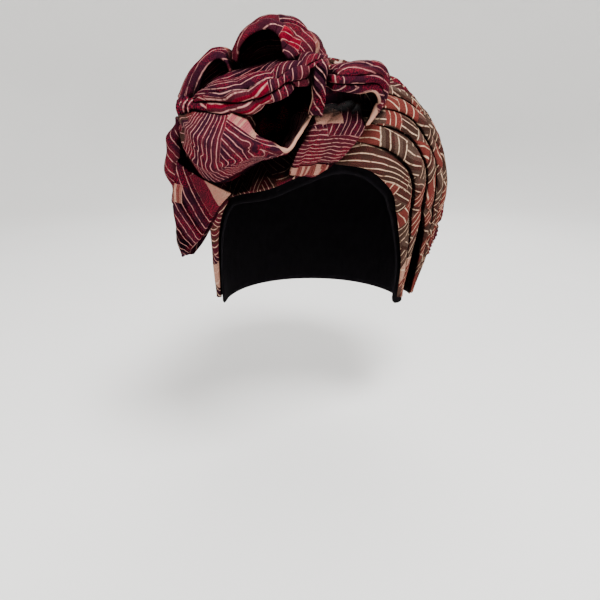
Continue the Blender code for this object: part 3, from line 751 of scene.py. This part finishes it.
def bag_edge():
    """The bag's outline as azimuth and height, once round the head from the middle of the brow."""
    left = bag_side(LEFT_SIDE_FAN, 1)
    right = bag_side(RIGHT_SIDE_FAN, -1)[::-1] + [360, 0]

    def hem(start, end, cells):
        azimuth = np.linspace(start, end, cells + 1)[1:-1]
        return np.stack([azimuth, hem_height(azimuth)], axis=-1)

    nape = hem(left[-1, 0], right[0, 0], BAG_NAPE_CELLS)
    brow = hem(right[-1, 0], left[0, 0] + 360, BAG_BROW_CELLS)
    return np.concatenate([left, nape, right, brow])


# Gathers and creases of the full cloth at the back. DRAPE_TURNS and DRAPE_FALL say how narrow
# the folds that hang down to the nape are, and how short. The REST values are the noise that leaves
# the cloth where it is, and the LEAST values how much of the folds is left where it lies close.
DRAPE_TURNS = 5.0
DRAPE_FALL = 1.1
DRAPE_HEIGHT = 0.022
DRAPE_TWIST = 0.25
DRAPE_REST = 0.17
DRAPE_LEAST = 0.08
GATHER_START = 0.02
GATHER_FULL = 0.65
GATHER_STAND = 0.03
BAG_SINK = 0.2
BAG_PUFF = 0.0040
BAG_PUFF_SIZE = 0.055
BAG_CREASE = 0.0022
BAG_CREASE_SIZE = 0.024
CREASE_REST = 0.3
CRUMPLE_LEAST = 0.2
BAG_EDGE_TUCK = 0.05


def make_bag():
    """The full cloth over the crown and the back of the head."""
    edge = bag_edge()
    share = np.linspace(0, 1, BAG_RINGS + 1)[1:] ** 0.8
    azimuth = np.broadcast_to(edge[:, 0], (BAG_RINGS, len(edge)))
    height = share[:, None] * edge[:, 1]
    base = wrap_point(azimuth, height, np.full(azimuth.shape, SEAT_GAP + CLOTH_WALL / 2))
    circle = np.radians(azimuth) + DRAPE_TWIST * height
    fall = height * DRAPE_FALL / DRAPE_TURNS
    hang = np.stack([np.sin(circle), np.cos(circle), fall], axis=-1) * DRAPE_TURNS
    drape = DRAPE_REST - np.abs(waves(hang, 1.0, 3.0, 2))
    stand = stand_off(azimuth, height, 1.0)
    fade = smoothstep(GATHER_START, GATHER_FULL, share)[:, None] * stand / GATHER_STAND
    lift = DRAPE_HEIGHT * drape * np.clip(fade, DRAPE_LEAST, 1)
    inner = 1 - smoothstep(1 - BAG_EDGE_TUCK, 1, share)[:, None]
    crumple = np.clip(fade, CRUMPLE_LEAST, 1)
    crease = CREASE_REST - np.abs(waves(base, BAG_CREASE_SIZE, 8.0, 2))
    lift = lift + BAG_PUFF * waves(base, BAG_PUFF_SIZE, 5.0, 2) * crumple
    lift = lift + BAG_CREASE * crease * crumple
    lift = np.maximum(lift * inner, BAG_SINK * (HEAD_EASE / 3 - stand))
    grid = base + grid_normals(base, True) * lift[..., None]
    crown = base[:1].mean(axis=1)[None].repeat(base.shape[1], 1)
    reach = lengths(np.concatenate([crown, base]), 0)[1:]
    turn = np.radians(azimuth)
    uv = np.stack([reach * np.sin(turn), -reach * np.cos(turn)], axis=-1)
    materials = cloth_materials("crown_bag", "crown_bag")
    piece = sheet_piece("crown_cloth", grid, uv, SCENE_WALL, materials, closed=True)
    declare(piece, ["crown_bag"])
    return piece


LINING_EDGE = 0.0035
LINING_EDGE_ROLL = 0.0006
LINING_CRUMPLE = 0.0006


def make_lining():
    """The dark stretch cap inside, with an elastic edge round the brow and nape."""
    azimuth = np.arange(LINING_COLUMNS) * 360 / LINING_COLUMNS
    share = np.linspace(0, 1, LINING_RINGS + 1)[1:]
    edge = hem_height(azimuth) + LINING_SHOW / NAPE_DROP
    height = share[:, None] * edge
    turns = np.broadcast_to(azimuth, height.shape)
    base = wrap_point(turns, height, np.full(height.shape, -LINING_WALL / 2), LINING_FULLNESS)
    reach = lengths(base, 0)
    left = reach[-1:] - reach
    ruck = np.sin(np.radians(turns) * 90) * (1 - smoothstep(0, 3 * LINING_EDGE, left))
    lift = LINING_CRUMPLE * (waves(base, 0.02, 4.0, 2) + ruck * 0.5)
    lift -= LINING_CRUMPLE * 0.6
    grid = base + grid_normals(base, True) * (lift * smoothstep(0, 0.004, left))[..., None]
    wall = LINING_WALL * 0.8 + LINING_EDGE_ROLL * (1 - smoothstep(LINING_EDGE * 0.8, LINING_EDGE, left))
    circle = np.radians(turns)
    uv = np.stack([reach * np.sin(circle), -reach * np.cos(circle)], axis=-1)
    material = lining_material()
    piece = sheet_piece("lining", grid, uv, wall, [material, material], closed=True)
    declare(piece, ["lining_cap"])
    return piece


# Colours of the threads
THREADS = {
    "wine": (0.062, 0.0092, 0.0160),
    "plum": (0.026, 0.0055, 0.0125),
    "dark": (0.0035, 0.0010, 0.0024),
    "red": (0.250, 0.0045, 0.020),
    "crimson": (0.140, 0.0030, 0.0130),
    "brown": (0.040, 0.0190, 0.0140),
    "taupe": (0.072, 0.0430, 0.0320),
    "salmon": (0.135, 0.0300, 0.0240),
    "beige": (0.400, 0.2100, 0.1500),
    "cream": (0.430, 0.2450, 0.2050),
    "pink": (0.300, 0.0800, 0.0900),
    "straw": (0.560, 0.4200, 0.2800),
}
BAND_WIDTH = 0.030
LINE_SPACING = 0.0045
LINE_HALF = 0.00008
LINE_SOFT = 0.00030
LINE_WANDER = 0.0009
STRIPE_MIX = (0.3, 0.7)
STEP = 0.01
WEAVE_PITCH = 0.0011
RIB_PITCH = 0.0014
LOW_SHINE = 1.03

# How fine each noise in the cloth is, in waves to the metre
SWAY_SCALE = 17
THREAD_SCALE = 35
CLOUD_SCALE = 60
WANDER_SCALE = 160
BROKEN_SCALE = 420
SPARKLE_SCALE = 1450

# Bands with lines as near as this are plain cloth with a faint rib
FINE_SPACING = 0.002
# Softness of the edge of bands with no lines, which here are all painted shade
PLAIN_SOFT = 0.002
FINE_STRENGTH = 0.20


def feed(tree, socket, value):
    """Links a socket to another's value, or sets it to a plain one."""
    if isinstance(value, bpy.types.NodeSocket):
        tree.links.new(value, socket)
    elif isinstance(value, tuple) and len(value) == 3 and socket.type == "RGBA":
        socket.default_value = (*value, 1)
    else:
        socket.default_value = value


def calc(tree, operation, *values):
    node = tree.nodes.new("ShaderNodeMath")
    node.operation = operation
    for socket, value in zip(node.inputs, values):
        feed(tree, socket, value)
    return node.outputs[0]


def plus(tree, first, second):
    return calc(tree, "ADD", first, second)


def minus(tree, first, second):
    return calc(tree, "SUBTRACT", first, second)


def times(tree, first, second):
    return calc(tree, "MULTIPLY", first, second)


def whole(tree, value, step):
    """How many whole steps go into the value."""
    return calc(tree, "FLOOR", calc(tree, "DIVIDE", value, step))


def blend(tree, share, first, second):
    """A colour between two others."""
    node = tree.nodes.new("ShaderNodeMix")
    node.data_type = "RGBA"
    for index, value in ((0, share), (6, first), (7, second)):
        feed(tree, node.inputs[index], value)
    return node.outputs[2]


def ramp(tree, value, low, high, start=0.0, end=1.0):
    """The value, taken smoothly from start at low to end at high."""
    node = tree.nodes.new("ShaderNodeMapRange")
    node.interpolation_type = "SMOOTHSTEP"
    for index, number in enumerate((value, low, high, start, end)):
        feed(tree, node.inputs[index], number)
    return node.outputs[0]


def vector(tree, x, y, z):
    node = tree.nodes.new("ShaderNodeCombineXYZ")
    for socket, value in zip(node.inputs, (x, y, z)):
        feed(tree, socket, value)
    return node.outputs[0]


def grain(tree, place, scale, detail=1.0):
    """Smooth noise from 0 to 1 over a place."""
    node = tree.nodes.new("ShaderNodeTexNoise")
    feed(tree, node.inputs["Vector"], place)
    node.inputs["Scale"].default_value = scale
    node.inputs["Detail"].default_value = detail
    return node.outputs[0]


def chance(tree, x, y, z):
    """A fixed random value from 0 to 1 for each whole place."""
    node = tree.nodes.new("ShaderNodeTexWhiteNoise")
    node.noise_dimensions = "3D"
    feed(tree, node.inputs["Vector"], vector(tree, x, y, z))
    return node.outputs["Value"]


def turned(tree, x, y, degrees, shift_x=0.0, shift_y=0.0):
    """A place on the cloth, moved and turned."""
    c, s = math.cos(math.radians(degrees)), math.sin(math.radians(degrees))
    x, y = minus(tree, x, shift_x), minus(tree, y, shift_y)
    along = plus(tree, times(tree, x, c), times(tree, y, s))
    across = minus(tree, times(tree, y, c), times(tree, x, s))
    return along, across


def lines(tree, across, spacing, half):
    """Where the thin lines of a band are, and a random tone for each stripe between them."""
    count = calc(tree, "DIVIDE", across, spacing)
    stripe = calc(tree, "FLOOR", count)
    away = calc(tree, "ABSOLUTE", minus(tree, calc(tree, "FRACT", count), 0.5))
    away = times(tree, away, spacing)
    return ramp(tree, away, half, half + LINE_SOFT, 1.0, 0.0), stripe


def near_edge(tree, away, width):
    return ramp(tree, calc(tree, "ABSOLUTE", away), width, width + LINE_SOFT, 1.0, 0.0)


def new_material(name):
    """A material and its shader."""
    material = bpy.data.materials.new(name)
    material.use_nodes = True
    return material, material.node_tree, material.node_tree.nodes["Principled BSDF"]


def cloth_place(tree):
    """Metres along and across the cloth, as one place and as two numbers."""
    source = tree.nodes.new("ShaderNodeUVMap")
    source.uv_map = "UVMap"
    split = tree.nodes.new("ShaderNodeSeparateXYZ")
    tree.links.new(source.outputs[0], split.inputs[0])
    return source.outputs[0], split.outputs[0], split.outputs[1]


def mark(tree, name):
    """A value kept at each point of the mesh."""
    node = tree.nodes.new("ShaderNodeAttribute")
    node.attribute_name = name
    return node.outputs["Fac"]


def add_relief(tree, shader, height, strength, depth):
    bump = tree.nodes.new("ShaderNodeBump")
    bump.inputs["Strength"].default_value = strength
    bump.inputs["Distance"].default_value = depth
    tree.links.new(height, bump.inputs["Height"])
    tree.links.new(bump.outputs[0], shader.inputs["Normal"])


def cloth_colours(tree, x, y, look):
    """The woven pattern: crossing bands of thin lines, with plain patches, and its relief."""
    place = vector(tree, x, y, look["seed"])
    warp = look["warp"]
    sway_x = times(tree, minus(tree, grain(tree, place, SWAY_SCALE), 0.5), warp)
    shifted = vector(tree, y, x, look["seed"] + 3.7)
    sway_y = times(tree, minus(tree, grain(tree, shifted, SWAY_SCALE), 0.5), warp)
    fine = times(tree, minus(tree, grain(tree, place, WANDER_SCALE), 0.5), LINE_WANDER)
    x, y = plus(tree, x, sway_x), plus(tree, y, sway_y)
    x, y = plus(tree, x, fine), plus(tree, y, fine)
    a, b = turned(tree, x, y, look["turn"], *look["shift"])
    band = look["band"]
    cell_a, cell_b = whole(tree, a, band), whole(tree, b, band)
    odd = calc(tree, "FLOORED_MODULO", plus(tree, cell_a, cell_b), 2.0)
    cross = plus(tree, times(tree, a, odd), times(tree, b, minus(tree, 1.0, odd)))
    line, stripe = lines(tree, cross, look["spacing"], look["half"])
    kind = chance(tree, cell_a, cell_b, look["seed"])
    tone = chance(tree, stripe, cell_a, cell_b)
    colours = look["grounds"]
    stripes = ramp(tree, tone, *STRIPE_MIX)
    ground = blend(tree, stripes, THREADS[colours[0]], THREADS[colours[1]])
    third = ramp(tree, kind, look["third"], look["third"] + STEP)
    ground = blend(tree, third, ground, THREADS[colours[2]])
    patch = ramp(tree, kind, look["patches"], look["patches"] + STEP)
    ground = blend(tree, patch, ground, THREADS["beige"])
    for row in look["blocks"]:
        u, v, long, wide, angle, bend, slant, spacing, colour, other = row
        u, v, long, wide, bend, spacing = (n / 1000 for n in (u, v, long, wide, bend, spacing))
        p, q = turned(tree, x, y, angle, u, v)
        if bend:
            share = calc(tree, "POWER", calc(tree, "ABSOLUTE", calc(tree, "DIVIDE", p, long / 2)), 2.0)
            q = plus(tree, q, times(tree, share, bend))
        inside_p = minus(tree, long / 2, calc(tree, "ABSOLUTE", p))
        inside_q = minus(tree, wide / 2, calc(tree, "ABSOLUTE", q))
        inside = calc(tree, "MINIMUM", inside_p, inside_q)
        mask = ramp(tree, inside, 0.0, LINE_SOFT if spacing else PLAIN_SOFT)
        own, paint = 0.0, THREADS[colour]
        if spacing:
            across = turned(tree, p, q, slant)[1] if slant else q
            own, own_stripe = lines(tree, across, spacing, look["half"])
            if spacing <= FINE_SPACING:
                own = times(tree, own, FINE_STRENGTH)
            own = calc(tree, "MAXIMUM", own, near_edge(tree, inside, look["half"]))
            own_tone = chance(tree, own_stripe, u * 100, v * 100)
            paint = blend(tree, ramp(tree, own_tone, *STRIPE_MIX), paint, THREADS[other])
        ground = blend(tree, mask, ground, paint)
        keep = times(tree, line, minus(tree, 1.0, mask))
        line = plus(tree, keep, times(tree, own, mask))
    return ground, line, place


# How far the reverse of the cloth is darkened: partly the wrong side's own duller tone, partly painted
# shade for the insides of petals and folds
REVERSE_TONE_AND_SHADE = 0.72
# Painted shade in hollows: how closed off a point must be for it, how strongly it darkens and its
# near-black colour
PAINTED_SHADE_RANGE = (0.18, 0.46)
PAINTED_SHADE_STRENGTH = 0.96
PAINTED_SHADE_COLOUR = (0.0015, 0.0008, 0.0012)
HEM_COLOUR_SOFT = 0.006


def cloth_material(name, look, reverse):
    """Jacquard cloth: its pattern, red flecks with painted glints, woven relief and soft shine, with
    painted shade on its reverse and in its hollows.
    """
    material, tree, shader = new_material(name)
    _, x, y = cloth_place(tree)
    ground, line, place = cloth_colours(tree, x, y, look)
    sparkle = grain(tree, place, SPARKLE_SCALE)
    broad = grain(tree, place, CLOUD_SCALE, 2.0)
    ground = blend(tree, ramp(tree, sparkle, 0.30, 0.75, 0.0, 0.55), ground, THREADS["dark"])
    # Red flecks: the red of the cloth's metallic threads, with their glints painted in as brighter red
    red = times(tree, ramp(tree, sparkle, 0.52, 0.36), ramp(tree, broad, 0.44, 0.62))
    ground = blend(tree, times(tree, red, look["sparkle"]), ground, THREADS["red"])
    broken = ramp(tree, grain(tree, place, BROKEN_SCALE), 0.30, 0.50, 0.25, 1.0)
    shade = grain(tree, place, THREAD_SCALE)
    thread = blend(tree, shade, THREADS[look["thread"]], THREADS[look["other_thread"]])
    colour = blend(tree, times(tree, line, broken), ground, thread)
    if look["hem"]:
        hem = ramp(tree, mark(tree, "inward"), look["hem"], look["hem"] + LINE_SOFT, 1.0, 0.0)
        hem = times(tree, hem, ramp(tree, x, look["hem_from"], look["hem_from"] + HEM_COLOUR_SOFT))
        colour = blend(tree, hem, colour, THREADS["beige"])
    # The darker reverse: partly the wrong side's own tone, partly painted shade
    if reverse:
        colour = blend(tree, REVERSE_TONE_AND_SHADE, colour, THREADS["dark"])
    # Painted shade: the colour darkens to near black where cloth closes off the space round a point
    painted_shade = ramp(tree, mark(tree, "closed_off"), *PAINTED_SHADE_RANGE, 0.0, PAINTED_SHADE_STRENGTH)
    colour = blend(tree, painted_shade, colour, PAINTED_SHADE_COLOUR)
    feed(tree, shader.inputs["Base Color"], colour)
    pitch = 2 * math.pi / WEAVE_PITCH
    warp_wave = calc(tree, "SINE", times(tree, plus(tree, x, y), pitch))
    weft_wave = calc(tree, "SINE", times(tree, minus(tree, x, y), pitch))
    weave = times(tree, warp_wave, weft_wave)
    relief = plus(tree, times(tree, weave, 0.25), times(tree, line, 0.6))
    relief = plus(tree, relief, times(tree, sparkle, 0.8))
    add_relief(tree, shader, relief, 0.55, 0.00035)
    feed(tree, shader.inputs["Roughness"], ramp(tree, sparkle, 0.3, 0.7, 0.45, 0.75))
    shader.inputs["IOR"].default_value = LOW_SHINE
    return material


def cloth_materials(name, look):
    look = {**PLAIN_LOOK, **LOOKS[look]}
    return [cloth_material(name + "_face", look, False), cloth_material(name + "_reverse", look, True)]


# How each piece of cloth looks. turn, shift and seed place the woven pattern on it, warp curves its
# lines, and hem is the width of a pale edge, from hem_from along the cloth. blocks are bands on
# top of the pattern: where each one's middle lies on the cloth, its length, width, angle, how deep
# its curve is, how its lines are turned in it, their spacing, and its two ground threads, in
# millimetres and degrees.
# A band with no spacing is plain cloth in the first thread; the plain dark bands here are painted
# shade.
PLAIN_LOOK = {
    "turn": 40,
    "shift": (0.0, 0.0),
    "seed": 1.0,
    "warp": 0.016,
    "band": BAND_WIDTH,
    "spacing": LINE_SPACING,
    "half": LINE_HALF,
    "grounds": ("wine", "plum", "wine"),
    "third": 0.6,
    "patches": 0.92,
    "sparkle": 0.6,
    "thread": "cream",
    "other_thread": "pink",
    "hem": 0.0,
    "hem_from": -1.0,
    "blocks": (),
}
LOOKS = {
    "hood_petal": {
        "seed": 2.0,
        "warp": 0.010,
        "blocks": (
            (35, 15, 200, 120, 6, 0, 0, 5.2, "wine", "plum"),
            (52, -3, 15, 9, 14, 0, 20, 4.0, "red", "crimson"),
            (56, 16, 40, 9, 30, 0, 0, 3.6, "plum", "dark"),
            (71, 14, 14, 26, 60, 0, 40, 5.0, "beige", "salmon"),
        ),
    },
    "side_loop": {
        "seed": 3.0,
        "warp": 0.008,
        "blocks": (
            (30, 20, 120, 100, 4, 0, 0, 4.4, "wine", "plum"),
            (44, 18, 12, 20, 30, 0, 0, 5.0, "salmon", "beige"),
        ),
    },
    "cross_petal": {
        "seed": 4.0,
        "warp": 0.014,
        "blocks": (
            (50, 30, 220, 160, 0, 0, 0, 3.3, "wine", "plum"),
            (42, 7, 46, 9, 4, 0, 0, 2.4, "crimson", "wine"),
            (40, 44, 46, 24, 8, 0, 12, 5.0, "dark", "plum"),
            (88, 25, 44, 120, -16, 0, 80, 4.6, "wine", "plum"),
            (101, 20, 8, 60, 0, 0, 50, 4.0, "salmon", "wine"),
        ),
    },
    "bowl_petal": {
        "seed": 5.0,
        "warp": 0.005,
        "hem": 0.0012,
        "hem_from": 0.074,
        "blocks": (
            (88, 14, 120, 90, 5, 6, 0, 3.2, "wine", "plum"),
            (10, 10, 80, 20, 68, 0, 60, 5.0, "brown", "plum"),
            (30, 12, 90, 31, 70, 0, 0, 3.0, "wine", "plum"),
            (52, -5, 22, 8, 12, 0, 90, 1.6, "beige", "pink"),
            # Painted shade: a plain dark band over the bowl's underside
            (50, 74, 170, 52, 0, 0, 0, 0, "dark", "dark"),
        ),
    },
    "front_tail": {
        "seed": 6.0,
        "warp": 0.006,
        "blocks": (
            # The tail's darker plum and near-black ground is painted shade; its lines are the cloth's
            # pattern
            (10, 15, 150, 120, -28, 0, 0, 4.8, "plum", "dark"),
            (6, 12, 40, 8, -30, 0, 0, 12.0, "wine", "wine"),
            (-3, 6, 19, 12, -28, 0, 90, 1.6, "beige", "beige"),
            (3, 36, 14, 12, 90, 0, 90, 1.6, "salmon", "beige"),
            (30, 3, 60, 20, 42, 0, 0, 20.0, "brown", "dark"),
        ),
    },
    "back_flap": {
        "seed": 7.0,
        "warp": 0.010,
        "blocks": ((30, 20, 160, 160, -43, 0, 0, 5.0, "plum", "wine"),),
    },
    "side_bow": {
        "seed": 8.0,
        "warp": 0.008,
        "hem": 0.0016,
        "blocks": ((30, 20, 160, 120, 20, 0, 0, 3.4, "wine", "plum"),),
    },
    "centre_fold": {
        "seed": 10.0,
        "hem": 0.0010,
        "blocks": ((15, 5, 60, 40, 30, 0, 0, 3.4, "plum", "dark"),),
    },
    "brow_tail": {
        "seed": 9.0,
        "warp": 0.004,
        "blocks": (
            (48, 14, 70, 26, 118, 3, 0, 2.7, "wine", "wine"),
            # Painted shade: a plain dark band on the top end of the brow tail, in the hollow below the
            # bow
            (6, 22, 90, 24, 118, 0, 0, 0, "dark", "dark"),
            (25, 20, 34, 18, 118, 0, 60, 4.0, "wine", "plum"),
            (27, 5, 18, 15, 118, 0, 90, 1.6, "beige", "beige"),
            (64, 14, 70, 6, 118, 0, 0, 9.0, "dark", "plum"),
            (71, 8, 50, 9, 118, 0, 90, 1.8, "beige", "salmon"),
        ),
    },
    "left_front_pleats": {
        "turn": 20,
        "seed": 11.0,
        "grounds": ("brown", "taupe", "salmon"),
        "half": 0.00022,
        "band": 0.018,
        "warp": 0.026,
        "sparkle": 0.2,
        "spacing": 0.0056,
        "thread": "straw",
        "other_thread": "beige",
        "blocks": ((24, 14, 70, 24, 20, 3, 0, 4.4, "brown", "brown"),),
    },
    "left_back_pleats": {
        "turn": 12,
        "seed": 14.0,
        "grounds": ("brown", "taupe", "salmon"),
        "half": 0.00026,
        "band": 0.016,
        "warp": 0.028,
        "sparkle": 0.2,
        "spacing": 0.0058,
        "thread": "straw",
        "other_thread": "beige",
    },
    "right_pleats": {
        "turn": 25,
        "seed": 12.0,
        "grounds": ("brown", "wine", "plum"),
        "half": 0.00022,
        "sparkle": 0.4,
        "thread": "straw",
    },
    "crown_bag": {
        "turn": 20,
        "seed": 13.0,
        "grounds": ("wine", "brown", "salmon"),
        "third": 0.76,
        "half": 0.00022,
        "patches": 0.90,
        "warp": 0.045,
        "band": 0.026,
        "spacing": 0.0047,
        "thread": "straw",
        "other_thread": "pink",
        "sparkle": 0.6,
        # Painted shade: a plain dark band on the brow cloth under the rosette
        "blocks": ((-9, -79, 86, 58, 0, 0, 0, 0, "dark", "dark"),),
    },
}


def lining_material():
    """Black ribbed stretch knit."""
    material, tree, shader = new_material("lining_knit")
    place, along, _ = cloth_place(tree)
    cloud = grain(tree, place, 90, 3.0)
    fuzz = grain(tree, place, 1400)
    colour = blend(tree, cloud, (0.0030, 0.0026, 0.0032), (0.0075, 0.0065, 0.0080))
    feed(tree, shader.inputs["Base Color"], colour)
    rib = calc(tree, "SINE", times(tree, along, 2 * math.pi / RIB_PITCH))
    relief = plus(tree, times(tree, rib, 0.4), fuzz)
    add_relief(tree, shader, relief, 0.5, 0.0003)
    feed(tree, shader.inputs["Roughness"], ramp(tree, fuzz, 0.3, 0.7, 0.6, 0.85))
    shader.inputs["IOR"].default_value = LOW_SHINE
    return material


CAMERA_PLACE = (-0.006, -0.500, 0.066)
CAMERA_PITCH = 17
FLOOR_HEIGHT = -0.20


def plain_material(name, colour, roughness):
    material, tree, shader = new_material(name)
    place = tree.nodes.new("ShaderNodeTexCoord").outputs["Object"]
    soft = grain(tree, place, 6, 3.0)
    light = tuple(min(1, c * 1.04) for c in colour)
    feed(tree, shader.inputs["Base Color"], blend(tree, soft, colour, light))
    shader.inputs["Roughness"].default_value = roughness
    return material


FLOOR_COLOUR = (0.92, 0.91, 0.89)
STAGE_FLAT = 1.4
STAGE_CURVE = 0.9
STAGE_WALL = 3.2
STAGE_STEPS = 14
STAGE_SIDES = 96


def make_stage():
    """A pale floor that curves up all round into a plain backdrop."""
    profile = [(0.02, 0.0), (STAGE_FLAT, 0.0)]
    for step in range(1, STAGE_STEPS + 1):
        turn = math.radians(90 * step / STAGE_STEPS)
        rise = STAGE_CURVE * (1 - math.cos(turn))
        profile.append((STAGE_FLAT + STAGE_CURVE * math.sin(turn), rise))
    profile.append((STAGE_FLAT + STAGE_CURVE, STAGE_WALL))
    points, faces = [], []
    for reach, rise in profile:
        for j in range(STAGE_SIDES):
            turn = 2 * math.pi * j / STAGE_SIDES
            points.append((reach * math.sin(turn), reach * math.cos(turn), FLOOR_HEIGHT + rise))
    for i in range(len(profile) - 1):
        for j in range(STAGE_SIDES):
            k = (j + 1) % STAGE_SIDES
            ring = i * STAGE_SIDES
            faces.append((ring + j, ring + k, ring + STAGE_SIDES + k, ring + STAGE_SIDES + j))
    faces.append(tuple(range(STAGE_SIDES - 1, -1, -1)))
    mesh = bpy.data.meshes.new("floor")
    mesh.from_pydata(points, [], faces)
    mesh.materials.append(plain_material("floor_paint", FLOOR_COLOUR, 0.85))
    mesh.shade_smooth()
    add_object("floor", mesh)


# The studio's soft lights: place, size and power
LIGHTS = (
    ("key", (0.30, -0.75, 1.15), 0.50, 38.0),
    ("fill", (-0.95, -0.85, 0.45), 0.8, 6.0),
    ("rim", (0.20, 1.15, 0.95), 0.8, 14.0),
)
WORLD_LIGHT = 0.45


def make_lights():
    aim = Vector((0.0, 0.0, 0.03))
    for name, place, size, power in LIGHTS:
        light = bpy.data.lights.new(name, "AREA")
        light.energy = power
        light.size = size
        item = add_object(name, light)
        item.location = place
        item.rotation_euler = (aim - Vector(place)).to_track_quat("-Z", "Y").to_euler()
    world = bpy.data.worlds.new("studio")
    world.use_nodes = True
    background = world.node_tree.nodes["Background"]
    background.inputs[0].default_value = (0.93, 0.94, 0.96, 1)
    background.inputs[1].default_value = WORLD_LIGHT
    bpy.context.scene.world = world


def make_camera():
    camera = add_object("camera", bpy.data.cameras.new("camera"))
    camera.location = CAMERA_PLACE
    camera.rotation_euler = (math.radians(90 - CAMERA_PITCH), 0, 0)
    camera.data.lens = 36
    camera.data.sensor_width = 36
    camera.data.clip_start = 0.01
    bpy.context.scene.camera = camera


# How deep in a hollow each point of cloth lies, which sets the painted shade in the cloth's colour:
# rays cast from it, and how far they reach
SHADE_RAYS = 12
SHADE_REACH = 0.065
SHADE_START = 0.0008


def shade_hollows(pieces):
    """Marks each point of the pieces with how much of the space round it cloth closes off, which the
    cloth materials turn into painted shade.
    """
    points, faces, count = [], [], 0
    for piece in pieces:
        mesh = piece.data
        flat = np.empty(len(mesh.vertices) * 3)
        mesh.vertices.foreach_get("co", flat)
        points.append(flat.reshape(-1, 3))
        faces += [[count + index for index in face.vertices] for face in mesh.polygons]
        count += len(mesh.vertices)
    tree = bvhtree.BVHTree.FromPolygons(np.concatenate(points).tolist(), faces)
    step = np.arange(SHADE_RAYS) + 0.5
    rise = np.sqrt(1 - step / SHADE_RAYS * 0.95)
    turn = step * math.pi * (3 - math.sqrt(5))
    flat = np.sqrt(1 - rise**2)
    rays = np.stack([flat * np.cos(turn), flat * np.sin(turn), rise], axis=-1)
    for piece, places in zip(pieces, points):
        mesh = piece.data
        normals = np.empty(len(mesh.vertices) * 3)
        mesh.vertices.foreach_get("normal", normals)
        normals = normals.reshape(-1, 3)
        side = np.where(np.abs(normals[:, 2:]) < 0.9, [[0.0, 0.0, 1.0]], [[1.0, 0.0, 0.0]])
        across = unit(np.cross(side, normals))
        along = np.cross(normals, across)
        starts = (places + normals * SHADE_START).tolist()
        ways = [(across * ray[0] + along * ray[1] + normals * ray[2]).tolist() for ray in rays]
        closed = np.zeros(len(places))
        for way in ways:
            hits = [tree.ray_cast(start, aim, SHADE_REACH)[3] for start, aim in zip(starts, way)]
            closed += [0.0 if hit is None else 1 - hit / SHADE_REACH for hit in hits]
        kept = mesh.attributes.new("closed_off", "FLOAT", "POINT")
        kept.data.foreach_set("value", closed / SHADE_RAYS)


LEFT_NODES = [f"left_pleat_{k + 1}" for k in range(len(LEFT_SIDE_PLEATS))]
RIGHT_NODES = [f"right_pleat_{k + 1}" for k in range(len(RIGHT_SIDE_PLEATS))]


def main():
    make_camera()
    make_lights()
    make_stage()
    pieces = [make_lining(), make_bag()]
    groups = (
        ("left_front_pleats", LEFT_SIDE_FAN, LEFT_SIDE_PLEATS[:2], LEFT_NODES[:2], 20.0, 1),
        ("left_back_pleats", LEFT_SIDE_FAN, LEFT_SIDE_PLEATS[2:], LEFT_NODES[2:], 24.0, 1),
        ("right_pleats", RIGHT_SIDE_FAN, RIGHT_SIDE_PLEATS, RIGHT_NODES, 30.0, -1),
    )
    for group in groups:
        pieces.append(pleat_group(*group))
    for name, sections, along, across, face in PETALS:
        look = "cross_petal" if name == "pinch_fold" else name
        pieces.append(make_petal(name, sections, along, across, face, look))
    shade_hollows(pieces)


main()
